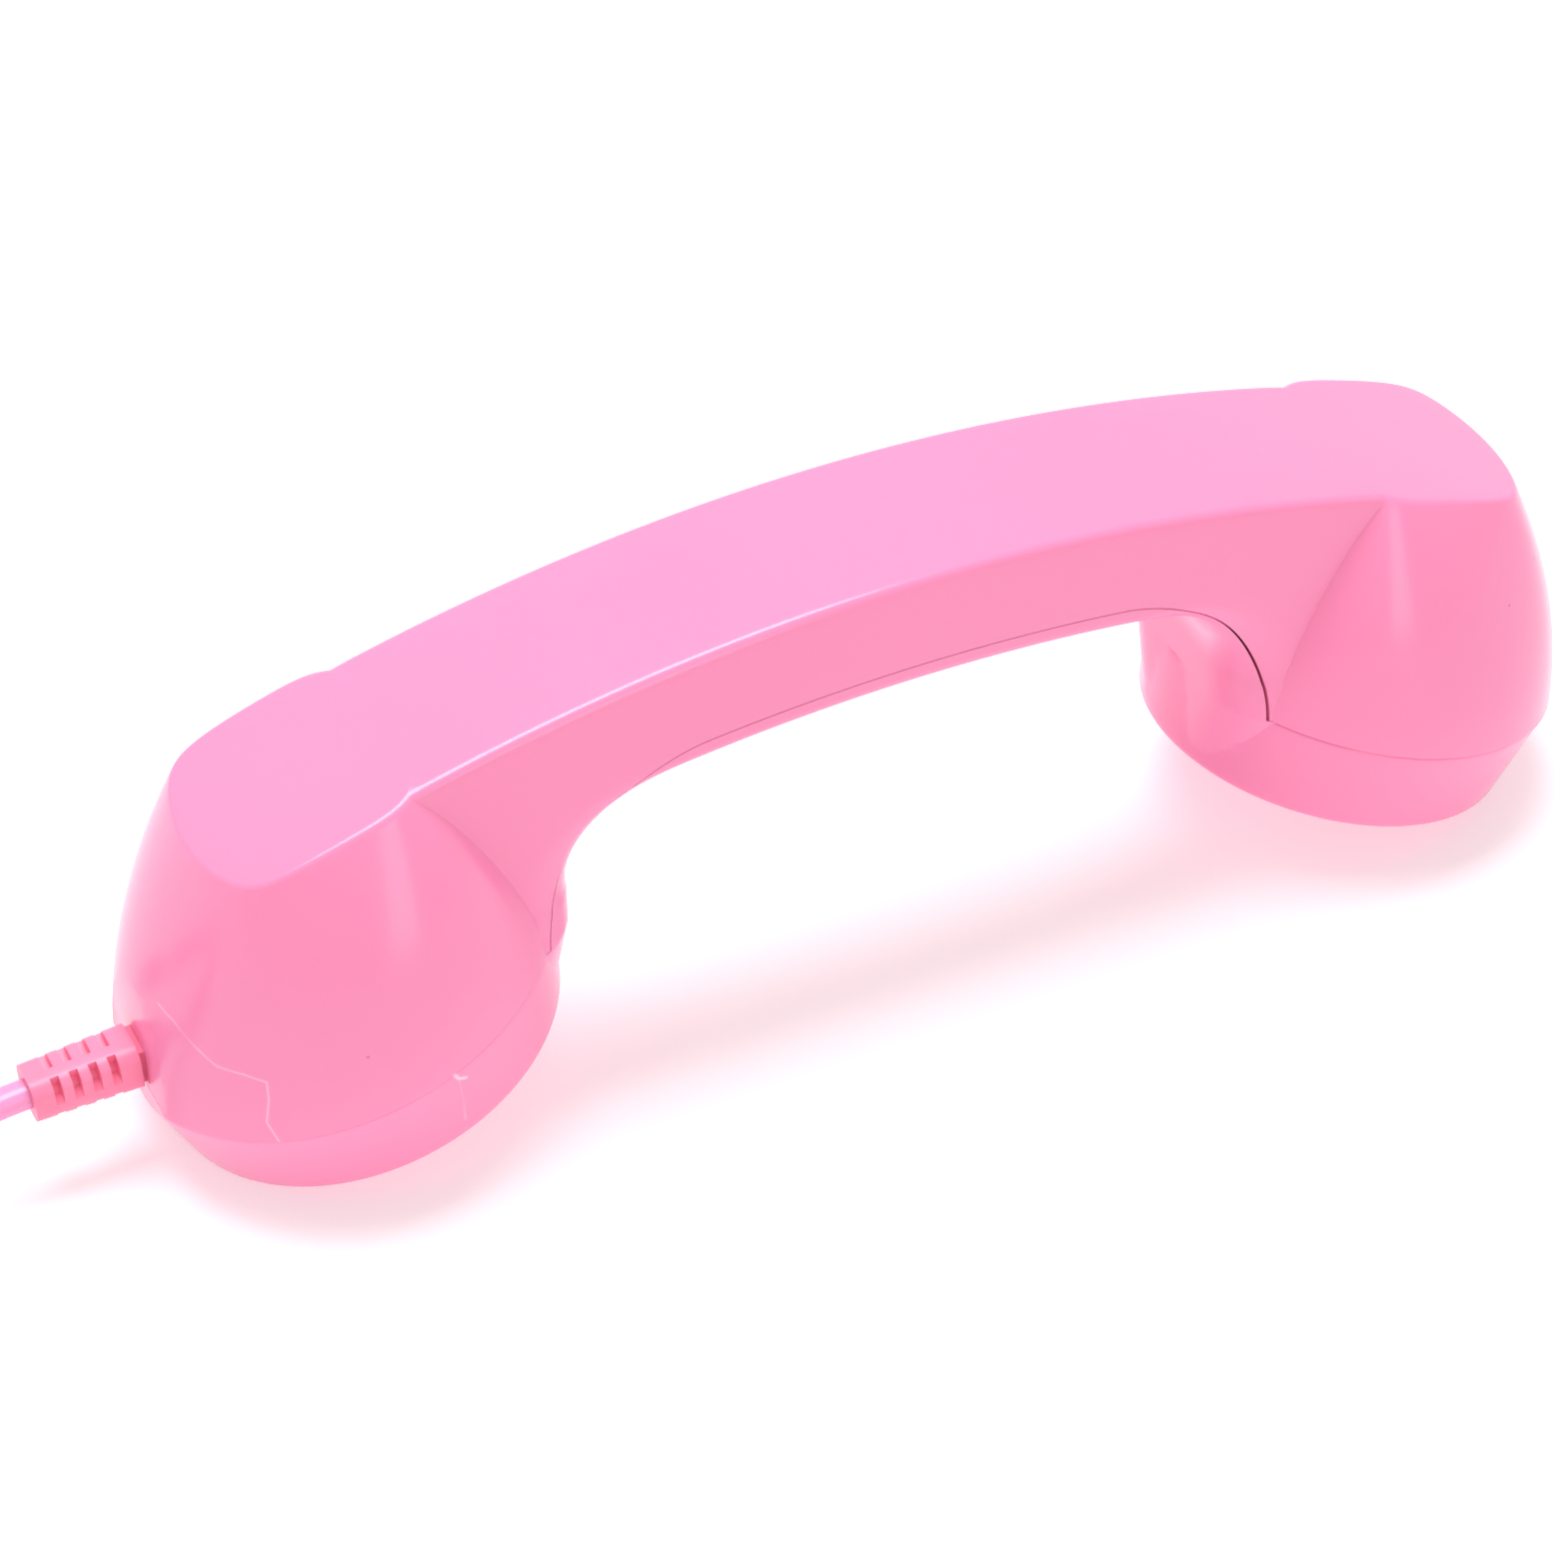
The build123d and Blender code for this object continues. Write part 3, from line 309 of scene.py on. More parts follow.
def pink_relief():
    material, shader = finish_of("pink_relief", (0.980, 0.255, 0.420), (0.965, 0.235, 0.395), (0.34, 0.46),
                                 grain=500.0, relief=0.10, relief_size=0.0002, patch=60.0)
    glow(shader, 0.2, (1.0, 0.3, 0.4))
    return material


def pink_cord():
    material, shader = finish_of("pink_cord", (0.970, 0.330, 0.600), (0.950, 0.300, 0.560), (0.22, 0.30),
                                 grain=400.0, relief=0.06, relief_size=0.0002, patch=40.0)
    glow(shader, 0.3, (1.0, 0.4, 0.7))
    return material


FINISH = {"pink_plastic": pink_shell(), "pink_relief": pink_relief(), "pink_cord": pink_cord()}
print("pinks:", *FINISH)

# %% [markdown]
# The pieces inside are metal, rubber, cloth, film and board. One table holds what differs between them: two
# close colours, the range of the roughness and how metallic they are. Then every piece of the construction
# gets the finish that its record asks for.

# %% The small pieces' finishes
SMALL = {
    "nickel": ((0.72, 0.70, 0.66), (0.66, 0.64, 0.60), (0.10, 0.20), 1.0),
    "zinc_steel": ((0.62, 0.63, 0.65), (0.50, 0.51, 0.54), (0.28, 0.42), 1.0),
    "dark_steel": ((0.10, 0.10, 0.11), (0.06, 0.06, 0.07), (0.40, 0.55), 0.6),
    "tin_plate": ((0.68, 0.68, 0.66), (0.58, 0.58, 0.56), (0.25, 0.38), 1.0),
    "copper_wire": ((0.62, 0.26, 0.12), (0.50, 0.20, 0.09), (0.25, 0.35), 1.0),
    "black_cloth": ((0.018, 0.018, 0.020), (0.010, 0.010, 0.012), (0.85, 0.95), 0.0),
    "black_rubber": ((0.022, 0.022, 0.023), (0.014, 0.014, 0.015), (0.60, 0.75), 0.0),
    "black_plastic": ((0.020, 0.020, 0.022), (0.014, 0.014, 0.015), (0.35, 0.50), 0.0),
    "clear_film": ((0.60, 0.60, 0.54), (0.54, 0.54, 0.48), (0.15, 0.25), 0.0),
    "green_board": ((0.020, 0.115, 0.045), (0.014, 0.085, 0.034), (0.30, 0.42), 0.0),
}
for name, (first, second, rough, metal) in SMALL.items():
    FINISH[name] = finish_of(name, first, second, rough, metal)[0]


def dress_nodes():
    slots = {row["node"]: row["material_slot"] for row in frame["record"]["subparts"]}
    for name, obj in frame["nodes"].items():
        obj.data.materials.clear()
        obj.data.materials.append(FINISH[slots[name]])
    print("finishes:", len(FINISH), "nodes dressed:", len(frame["nodes"]))


dress_nodes()

# %% [markdown]
# The cord is one curve. It leaves the strain relief, bends down to the ground and goes into a curly stretch
# that lies in two legs side by side, and its last stretch turns back to the plug. The route is a smooth
# spline through a few given points. The curls could be a twisted array, but a loop that walks along
# the route and swings the cord round it keeps the coil in step with every bend.

# %% The cord's route
RELIEF_GAP, RELIEF_Z, RELIEF_DROOP, RELIEF_LONG = 0.7, 15.7, radians(3.5), 14.0
CURLY_Y, CURLY_Z, CURLY_LEG, CURLY_BACK = -4.0, 5.6, 80.0, 52.0
CURLY_BEND_R = 20.0
LEG_STEPS, BEND_STEPS = 4, 8
# A spline cuts its corners, so the bend's control points stand a little outside the bend
BEND_SWELL = 1.035
ROUTE_STEP = 0.0002
LEAD_POINTS = ((-118.96, 0, 14.64), (-124.02, 0, 13.43), (-131.36, -0.6, 10.24), (-140.0, -2.2, 7.3),
               (-148.9, CURLY_Y, CURLY_Z), (-157.0, CURLY_Y, CURLY_Z))
PLUG_LEAD_POINTS = ((7, 0, 0), (15, 0, -1.6), (22, 0, -1.6))
RELIEF_END = (-LAND_X - RELIEF_GAP - RELIEF_LONG * cos(RELIEF_DROOP), 0,
              RELIEF_Z - RELIEF_LONG * sin(RELIEF_DROOP))


def curly_points():
    # Straight legs with a half turn of points between them
    x0, y0, z0 = LEAD_POINTS[-1]
    far = x0 - CURLY_LEG
    points = [(x0 - CURLY_LEG * k / LEG_STEPS, y0, z0) for k in range(1, LEG_STEPS + 1)]
    swell = CURLY_BEND_R * BEND_SWELL
    for k in range(1, BEND_STEPS):
        a = pi * k / BEND_STEPS
        points.append((far - swell * sin(a), y0 + CURLY_BEND_R - swell * cos(a), z0))
    back_y = y0 + 2 * CURLY_BEND_R
    return points + [(far + CURLY_BACK * k / LEG_STEPS, back_y, z0) for k in range(LEG_STEPS + 1)]


def route_points():
    curly = curly_points()
    x, y, z = curly[-1]
    tail = [(x + dx, y + dy, z + dz) for dx, dy, dz in PLUG_LEAD_POINTS]
    return [RELIEF_END, *LEAD_POINTS, *curly, *tail]


def spline_line(points):
    # The line of a smooth spline, as points in metres
    data = bpy.data.curves.new("route", "CURVE")
    data.dimensions = "3D"
    data.resolution_u = 24
    spline = data.splines.new("NURBS")
    spline.points.add(len(points) - 1)
    for control, point in zip(spline.points, to_frame(points)):
        control.co = (*point, 1)
    spline.order_u = 3
    spline.use_endpoint_u = True
    obj = bpy.data.objects.new("route", data)
    bpy.context.collection.objects.link(obj)
    bpy.context.view_layer.update()
    mesh = bpy.data.meshes.new_from_object(obj.evaluated_get(bpy.context.evaluated_depsgraph_get()))
    line = np.array([v.co for v in mesh.vertices])
    bpy.data.meshes.remove(mesh)
    bpy.data.objects.remove(obj)
    return line


def resample(line, step):
    # Evenly spaced points of a line, and how far along it each one lies
    run = np.r_[0, np.cumsum(np.linalg.norm(np.diff(line, axis=0), axis=1))]
    at = np.linspace(0, run[-1], int(round(run[-1] / step)) + 1)
    return np.stack([np.interp(at, run, line[:, k]) for k in range(3)], -1), at


ROUTE, ROUTE_AT = resample(spline_line(route_points()), ROUTE_STEP)
print("route length", round(ROUTE_AT[-1], 4), "m from", len(route_points()), "points")

# %% [markdown]
# The curls start and end where the two straight stretches meet the coil. There the swing grows from nothing
# over one turn, as on a real curly cord, whose last turn runs out into the straight end.

# %% The curls
CORD_WIDE, CORD_THICK = 3.9, 3.5
CURLY_R, CURLY_PITCH = 5.5, 4.5
CURL_SIDES = 18
CURL_GROW = 1.2
CORD_STEP = 0.0008


def nearest_at(point):
    gap = np.linalg.norm(ROUTE - to_frame(point), axis=1)
    return ROUTE_AT[int(np.argmin(gap))]


def cord_line():
    start, stop = nearest_at(LEAD_POINTS[-1]), nearest_at(curly_points()[-1])
    end = ROUTE_AT[-1]
    turns = round((stop - start) / (CURLY_PITCH * MM))
    step = np.gradient(ROUTE, axis=0)
    step /= np.linalg.norm(step, axis=1, keepdims=True)
    side = np.cross((0, 0, 1), step)
    side /= np.linalg.norm(side, axis=1, keepdims=True)
    up = np.cross(step, side)
    before = np.linspace(0, start, round(start / CORD_STEP), endpoint=False)
    after = np.linspace(end, stop, round((end - stop) / CORD_STEP), endpoint=False)[::-1]
    at = np.r_[before, np.linspace(start, stop, turns * CURL_SIDES + 1), after]
    share = np.clip((at - start) / (stop - start), 0, 1)
    angle = 2 * pi * turns * share - pi / 2
    grow = np.clip(share * turns / CURL_GROW, 0, 1) * np.clip((1 - share) * turns / CURL_GROW, 0, 1)
    radius = (CURLY_R - CORD_WIDE / 2) * MM * grow * grow * (3 - 2 * grow)

    def along(values):
        return np.stack([np.interp(at, ROUTE_AT, values[:, k]) for k in range(3)], -1)

    out, lift = np.cos(angle) * radius, np.sin(angle) * radius
    return along(ROUTE) + out[:, None] * along(side) + lift[:, None] * along(up), turns


CORD_LINE, CURLS = cord_line()

# %% [markdown]
# The cord's jacket is a rounded flat strip rather than a round one. A curve's bevel can't hold such a section
# steady through the curls, so the jacket is a mesh tube whose section is carried from one point to the next
# with the least twist.

# %% The cord's jacket
JACKET_SIDES = 16
# Below 1, the section is squarer than an ellipse
JACKET_POWER = 0.8
TOUCH = 1e-7


def mesh_object(name, verts, faces):
    mesh = bpy.data.meshes.new(name)
    mesh.from_pydata([tuple(v) for v in verts], [], faces)
    mesh.validate()
    obj = bpy.data.objects.new(name, mesh)
    bpy.context.collection.objects.link(obj)
    return obj


def face_out(obj):
    bm = bmesh.new()
    bm.from_mesh(obj.data)
    bmesh.ops.remove_doubles(bm, verts=bm.verts, dist=TOUCH)
    bmesh.ops.recalc_face_normals(bm, faces=bm.faces)
    bm.to_mesh(obj.data)
    bm.free()


def soften(obj, angle):
    # Smooth shading, with an edge only where the surface turns by more than the angle
    obj.data.shade_smooth()
    obj.data.set_sharp_from_angle(angle=angle)


def carried_frames(line):
    # The two cross directions at each point, carried forward without twist
    tangent = np.gradient(line, axis=0)
    tangent /= np.linalg.norm(tangent, axis=1, keepdims=True)
    across = np.zeros_like(line)
    now = np.cross((0, 0, 1), tangent[0])
    for k, t in enumerate(tangent):
        now = now - t * np.dot(now, t)
        now /= np.linalg.norm(now)
        across[k] = now
    return across, np.cross(tangent, across)


def bent(half, share):
    return half * np.sign(share) * abs(share)**JACKET_POWER


def jacket_section():
    # Points of the section along the two cross directions
    angles = [2 * pi * k / JACKET_SIDES for k in range(JACKET_SIDES)]
    return np.array([(bent(CORD_WIDE / 2, cos(a)), bent(CORD_THICK / 2, sin(a))) for a in angles]) * MM


def tube_mesh(name, line, ring, across, up):
    count, sides = len(line), len(ring)
    points = (line[:, None, :] + ring[None, :, 0:1] * across[:, None, :]
              + ring[None, :, 1:2] * up[:, None, :])
    faces = []
    for k in range(count - 1):
        for j in range(sides):
            a, b = k * sides + j, k * sides + (j + 1) % sides
            faces.append((a, b, b + sides, a + sides))
    faces.append(tuple(range(sides - 1, -1, -1)))
    faces.append(tuple((count - 1) * sides + j for j in range(sides)))
    return mesh_object(name, points.reshape(-1, 3), faces)


def make_cord():
    cord = tube_mesh("cord_jacket", CORD_LINE, jacket_section(), *carried_frames(CORD_LINE))
    cord.data.materials.append(FINISH["pink_cord"])
    face_out(cord)
    soften(cord, radians(60))
    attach(cord, "root")
    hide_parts("cord_lead", "curly_cord", "plug_lead")
    print("cord faces", len(cord.data.polygons))


make_cord()

# %% [markdown]
# The strain relief is moulded in one shot over the cord. Soft vinyl never comes out of a mould with knife
# edges, so a copy of the construction's piece gets a narrow bevel all round its barrel and its slots. The
# triangles of its flat sides are joined first, because a bevel needs whole faces to run along.

# %% The strain relief
RELIEF_WELD = 1e-6
RELIEF_BEVEL, RELIEF_BEVEL_STEPS = 0.22, 2


def make_relief():
    mesh = frame["nodes"]["strain_relief"].data.copy()
    relief = bpy.data.objects.new("relief_soft", mesh)
    bpy.context.collection.objects.link(relief)
    bm = bmesh.new()
    bm.from_mesh(mesh)
    bmesh.ops.remove_doubles(bm, verts=bm.verts, dist=RELIEF_WELD)
    bmesh.ops.dissolve_limit(bm, angle_limit=radians(1), verts=bm.verts, edges=bm.edges)
    bm.to_mesh(mesh)
    bm.free()
    edge = relief.modifiers.new("soft edge", "BEVEL")
    edge.width = RELIEF_BEVEL * MM
    edge.segments = RELIEF_BEVEL_STEPS
    edge.limit_method = "ANGLE"
    edge.angle_limit = radians(40)
    mesh.materials.clear()
    mesh.materials.append(FINISH["pink_relief"])
    soften(relief, radians(50))
    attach(relief, "root")
    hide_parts("strain_relief")
    print("relief faces", len(mesh.polygons))


make_relief()

# %% [markdown]
# The shells are worked out from sections. A section of the grip is a U: a low edge, two rounded low corners
# and two sides that lean in a little towards the top. Walking round the neck, the U turns from upright to
# lying down, and its low corners open from a crisp edge to a wide round. A boolean of a box and a cylinder
# could not give that change, so the sections are computed and laid into one closed skin.

# %% A section of the handle
GRIP_HALF, GRIP_FLARE = 13.2, 0.0987
TOP_EDGE_R = 1.3
FLAT_STEPS, CORNER_STEPS, SIDE_STEPS, EDGE_STEPS = 4, 8, 12, 6


def side_half(x, z):
    return GRIP_HALF + GRIP_FLARE * (GRIP_TOP_R - np.hypot(x, z - TOP_C))


def round_corner(corner, to_a, to_b, radius, count):
    # Points of the arc that rounds a corner between two directions, from a to b
    to_a, to_b = np.asarray(to_a, float), np.asarray(to_b, float)
    to_a, to_b = to_a / np.linalg.norm(to_a), to_b / np.linalg.norm(to_b)
    half = acos(max(-1, min(1, float(to_a @ to_b)))) / 2
    back = radius / tan(half)
    middle = (to_a + to_b) / np.linalg.norm(to_a + to_b)
    centre = corner + middle * radius / sin(half)
    start, stop = corner + to_a * back - centre, corner + to_b * back - centre
    swing = pi - 2 * half
    points = []
    for k in range(count + 1):
        f = k / count
        points.append(centre + (sin((1 - f) * swing) * start + sin(f * swing) * stop) / sin(swing))
    return points


def u_ring(x, z, ux, uz, length, corner_r, half_low, half_high):
    # One half of the U as (s, y), then mirrored, as points in space
    low, high = np.array((0.0, half_low)), np.array((length, half_high))
    bottom = round_corner(low, (0, -1), high - low, corner_r, CORNER_STEPS)
    top = round_corner(high, low - high, (0, -1), TOP_EDGE_R, EDGE_STEPS)
    half = [np.array((0.0, bottom[0][1] * k / FLAT_STEPS)) for k in range(FLAT_STEPS)] + bottom
    half += [bottom[-1] + (top[0] - bottom[-1]) * k / SIDE_STEPS for k in range(1, SIDE_STEPS)] + top
    half += [np.array((length, top[-1][1] * k / FLAT_STEPS)) for k in range(FLAT_STEPS - 1, -1, -1)]
    ring = half + [p * (1, -1) for p in half[-2:0:-1]]
    return [(x + ux * s, y, z + uz * s) for s, y in ring]


print("half width of the grip's top", GRIP_HALF, "and underside", round(side_half(0, GRIP_UNDER_Z), 2))

# %% [markdown]
# The sections follow the grip's underside, then the bend of the neck, and then run straight down to the rim
# and on to the face. Only one half of the handle is worked out, because the other half is its mirror image.

# %% The handle's skin
CORNER_GRIP, CORNER_NECK = 1.6, 8.0
CHIN_HALF, CHIN_SET, CHIN_STOP = 12.0, 0.6, 1.0
GRIP_ROWS, NECK_ROWS, RIM_ROWS, CHIN_ROWS = 24, 36, 6, 14
RIM_ROW_W = 0.03
# The grip's top sinks towards each dome, so that the two cross cleanly
HANDLE_IN, HANDLE_DIP_X, HANDLE_SINK = 71.5, 66.0, 0.5


def to_top(x, z, ux, uz, radius):
    # Distance along (ux, uz) to the top's cylinder
    b = x * ux + (z - TOP_C) * uz
    c = x * x + (z - TOP_C)**2 - radius**2
    return -b + sqrt(b * b - c)


def grip_row(x, z, ux, uz, corner):
    # One section of the grip or the bend, which ends at the top or inside the dome
    length = to_top(x, z, ux, uz, GRIP_TOP_R)
    edge = x + ux * length
    if edge < HANDLE_IN:
        length -= HANDLE_SINK * max(0, min(1, (edge - HANDLE_DIP_X) / (HANDLE_IN - HANDLE_DIP_X)))**2
    else:
        sunk = GRIP_TOP_R - HANDLE_SINK
        length = (HANDLE_IN - x) / ux
        if z + uz * length > TOP_C + sqrt(sunk**2 - HANDLE_IN**2):
            length = to_top(x, z, ux, uz, sunk)
    return x, z, ux, uz, length, corner, side_half(x, z), side_half(x + ux * length, z + uz * length)


def neck_rows(last):
    # Straight runs from the end of the bend to the rim, and from the rim to the chin above the face
    rim = cup_points(1, -RIM_LONG + NECK_SET, 0, RIM_ROW_W)
    chin = cup_points(1, -FACE_LONG + CHIN_SET, 0, CHIN_STOP - FACE_DEPTH)
    stops = [np.array(stop) for stop in (
        (last[0], last[1], 0, last[4], last[6]),
        (rim[0], rim[2], -TILT, RIM_LONG - 1, side_half(rim[0], rim[2])),
        (chin[0], chin[2], -TILT, FACE_LONG - 1, CHIN_HALF))]
    rows = []
    for start, stop, count in zip(stops, stops[1:], (RIM_ROWS, CHIN_ROWS)):
        for k in range(1, count + 1):
            x, z, tilt, length, half = start + (stop - start) * (k / count)
            rows.append((x, z, cos(tilt), sin(tilt), length, CORNER_NECK, half, half))
    return rows


def handle_rows():
    axis_x = NECK_X - NECK_R
    axis_z = UNDER_C + sqrt((GRIP_UNDER_R - NECK_R)**2 - axis_x**2)
    turn = atan2(axis_z - UNDER_C, axis_x)
    rows = []
    for k in range(GRIP_ROWS):
        a = pi / 2 + (turn - pi / 2) * k / GRIP_ROWS
        foot = GRIP_UNDER_R * cos(a), UNDER_C + GRIP_UNDER_R * sin(a)
        rows.append(grip_row(*foot, cos(a), sin(a), CORNER_GRIP))
    for k in range(NECK_ROWS + 1):
        f = k / NECK_ROWS
        a = turn * (1 - f)
        foot = axis_x + NECK_R * cos(a), axis_z + NECK_R * sin(a)
        corner = CORNER_GRIP + (CORNER_NECK - CORNER_GRIP) * f * f * (3 - 2 * f)
        rows.append(grip_row(*foot, cos(a), sin(a), corner))
    return rows + neck_rows(rows[-1])


def closed_object(name, points, faces):
    obj = mesh_object(name, to_frame(points), faces)
    face_out(obj)
    return obj


def handle_skin(name):
    # Closed rings of equal count, joined side by side and capped at both ends
    rows = handle_rows()
    mirrored = [(-x, z, -ux, uz, *rest) for x, z, ux, uz, *rest in rows[:0:-1]]
    rings = [u_ring(*row) for row in mirrored + rows]
    count = len(rings[0])
    verts = [p for ring in rings for p in ring]
    faces = []
    for k in range(len(rings) - 1):
        for j in range(count):
            a, b = k * count + j, k * count + (j + 1) % count
            faces.append((a, b, b + count, a + count))
    for k in (0, len(rings) - 1):
        middle = len(verts)
        verts.append(np.mean(rings[k], axis=0))
        faces += [(k * count + j, k * count + (j + 1) % count, middle) for j in range(count)]
    return closed_object(name, verts, faces)


print("sections from the middle to the face:", len(handle_rows()))

# %% [markdown]
# A dome is round at the rim and nearly rectangular at the top, so its radius in each direction runs from one
# shape to the other as it rises. Each upright line of it is cut where it meets the long arc of the top, and
# the corner there is rounded, because a moulded edge is never sharp. The rounding is what catches the light.

# %% The domes' form
TOP_SIDE, TOP_END, TOP_END_R, TOP_INNER, TOP_TAPER = 13.65, 17.7, 27.8, 10.0, 0.02
TOP_CORNER, TOP_INNER_CORNER = 10, 3
DOME_OVERRUN, DOME_BULGE, DOME_BULGE_INNER = 0.8, 2.0, 1.25
# A dome starts just inside the seam's gap, its top lies a hair under the grip's, and behind the neck it
# stays inside the handle
DOME_BASE_W = 0.06
DOME_TOP_R = GRIP_TOP_R - 0.02
DOME_BACK = 0.4
SMALL_SHARE, SMALL_END = 1e-6, 1e-3


def rim_r(phi):
    return 1 / np.sqrt((np.cos(phi) / RIM_LONG)**2 + (np.sin(phi) / RIM_WIDE)**2)


def top_r(phi):
    # The dome's flat upper end: straight sides, a wide arc outwards and rounded corners
    c, s = np.cos(phi), np.abs(np.sin(phi))
    off = TOP_END - TOP_END_R
    side_out = TOP_SIDE / np.maximum(s + TOP_TAPER * c, SMALL_SHARE)
    end_out = off * c + np.sqrt(np.maximum(TOP_END_R**2 - (off * s)**2, 0))
    side_in = TOP_SIDE / np.maximum(s, SMALL_SHARE)
    end_in = TOP_INNER / np.maximum(-c, SMALL_SHARE)
    outer = (side_out**-TOP_CORNER + np.maximum(end_out, SMALL_END)**-TOP_CORNER)**(-1 / TOP_CORNER)
    inner = (side_in**-TOP_INNER_CORNER + end_in**-TOP_INNER_CORNER)**(-1 / TOP_INNER_CORNER)
    return np.where(c >= 0, outer, inner)


def dome_height():
    x = CUP_X - TOP_INNER
    z = TOP_C + sqrt(GRIP_TOP_R**2 - x**2)
    return (x - CUP_X) * sin(TILT) + (z - RIM_Z) * cos(TILT) + DOME_OVERRUN


def dome_point(phi, w):
    c = np.cos(phi)
    bulge = DOME_BULGE - np.where(c < 0, (DOME_BULGE - DOME_BULGE_INNER) * c**2, 0)
    rim = rim_r(phi)
    f = np.clip(w / dome_height(), 0, 1)
    r = rim - (rim - top_r(phi)) * f**bulge
    point = cup_points(1, r * c - w * tan(TILT), r * np.sin(phi), w)
    point[0] = max(point[0], NECK_X + DOME_BACK)
    return point


print("dome height", round(dome_height(), 2))

# %% [markdown]
# The skin of a dome is a fan of upright lines. They stand closer together at the near corner of the top,
# where the form turns fastest. A search that halves its range each time finds where a line meets the top.

# %% The domes' skin
# From angle, to angle and lines between them
DOME_FAN = ((0, 30, 12), (30, 58, 36), (58, 180, 36))
DOME_ROWS, DOME_TOP_ROWS = 22, 8
DOME_MIDDLE_X = CUP_X + 1.5
SEARCH_FROM, SEARCH_STEPS, SLOPE_STEP = 0.3, 40, 0.5


def dome_angles():
    half = np.concatenate([np.linspace(*part, endpoint=False) for part in DOME_FAN])
    return np.radians(np.concatenate([half, [180], 360 - half[:0:-1]]))


def meets_top(phi):
    # Height at which the line in this direction reaches the arc of the top
    low, high = SEARCH_FROM * dome_height(), dome_height()
    for _ in range(SEARCH_STEPS):
        mid = (low + high) / 2
        point = dome_point(phi, mid)
        if np.hypot(point[0], point[2] - TOP_C) < DOME_TOP_R:
            low = mid
        else:
            high = mid
    return low


def dome_line(phi, middle):
    # Points from the rim up to the top, round its edge and in to the middle
    top_w = meets_top(phi)
    corner = dome_point(phi, top_w)
    down = dome_point(phi, top_w - SLOPE_STEP) - corner
    inward = middle - corner
    inward[2] = -(corner[0] / (corner[2] - TOP_C)) * inward[0]
    arc = round_corner(corner, down, inward, TOP_EDGE_R, EDGE_STEPS)
    edge_w = top_w - np.linalg.norm(arc[0] - corner) / np.linalg.norm(down) * SLOPE_STEP
    line = [dome_point(phi, DOME_BASE_W + (edge_w - DOME_BASE_W) * k / DOME_ROWS) for k in range(DOME_ROWS)]
    line += arc
    for k in range(1, DOME_TOP_ROWS):
        p = arc[-1] + (middle - arc[-1]) * (k / DOME_TOP_ROWS)
        p[2] = TOP_C + sqrt(DOME_TOP_R**2 - p[0]**2)
        line.append(p)
    return line


def fan_skin(name, lines, ends):
    # Lines side by side, closed at a row of each end by triangles round one middle point
    across, up = len(lines), len(lines[0])
    faces = []
    for j in range(across):
        n = (j + 1) % across
        faces += [(j * up + k, n * up + k, n * up + k + 1, j * up + k + 1) for k in range(up - 1)]
        for i, (row, _) in enumerate(ends):
            a, b = (j, n) if row else (n, j)
            faces.append((a * up + row, b * up + row, across * up + i))
    return closed_object(name, [p for line in lines for p in line] + [p for _, p in ends], faces)


def dome_skin(name, side):
    middle = np.array((DOME_MIDDLE_X, 0, TOP_C + sqrt(DOME_TOP_R**2 - DOME_MIDDLE_X**2)))
    lines = [[p * (side, 1, 1) for p in dome_line(phi, middle)] for phi in dome_angles()]
    top, base = (len(lines[0]) - 1, middle * (side, 1, 1)), (0, cup_points(side, 0, 0, DOME_BASE_W))
    return fan_skin(name, lines, (top, base))


print("lines of a dome:", len(dome_angles()))

# %% [markdown]
# Under each rim a ring narrows to the flat face. Its wall is straight from an ellipse to a smaller one, and
# the edge of the face is rounded, because the handset is set down on it all day.

# %% The rings' skin
# A ring ends a hair inside the rim and under it, with a soft edge
RING_SET, RIM_DROP, RIM_EDGE_R = 0.15, 0.01, 0.4
RING_LINES, RIM_STEPS, WALL_STEPS, FACE_STEPS = 128, 4, 10, 3


def ring_line(side, t):
    # Points from under the rim down the wall, round the face's edge and in towards its middle
    c, s = cos(t), sin(t)
    top = np.array(((RIM_LONG - RING_SET) * c, (RIM_WIDE - RING_SET) * s, -RIM_DROP))
    low = np.array((FACE_LONG * c, FACE_WIDE * s, -FACE_DEPTH))
    arc = round_corner(low, top - low, (-c * FACE_LONG, -s * FACE_WIDE, 0), FACE_EDGE_R, EDGE_STEPS)
    line = round_corner(top, (-c, -s, 0), low - top, RIM_EDGE_R, RIM_STEPS)
    wall = line[-1]
    line += [wall + (arc[0] - wall) * k / WALL_STEPS for k in range(1, WALL_STEPS)] + arc
    line += [arc[-1] * (1 - k / FACE_STEPS) + np.array((0, 0, -FACE_DEPTH)) * k / FACE_STEPS
             for k in range(1, FACE_STEPS)]
    return [cup_points(side, e, y, w) for e, y, w in line]


def ring_skin(name, side):
    lines = [ring_line(side, 2 * pi * j / RING_LINES) for j in range(RING_LINES)]
    rim = (0, cup_points(side, 0, 0, -RIM_DROP))
    face = (len(lines[0]) - 1, cup_points(side, 0, 0, -FACE_DEPTH))
    return fan_skin(name, lines, (rim, face))


print("lines of a ring:", RING_LINES, "points on each:", len(ring_line(1, 0)))

# %% [markdown]
# The seam runs under the grip, round both necks and along the rims. One outline that follows it cuts both
# shells. Cut at its own size it leaves the inner shell, and a hair wider it leaves the outer one, so that
# the difference is the dark line between them. At the inner side of the ear cup that line is wider.

# %% The seam's tool
SEAM_RISE, SEAM_X, SEAM_NECK_R = 2.8, 51.4, 25.7
SEAM_GAP, SEAM_GAP_EAR = 0.12, 0.45
SEAM_NECK_STEPS, SEAM_GRIP_STEPS = 32, 12
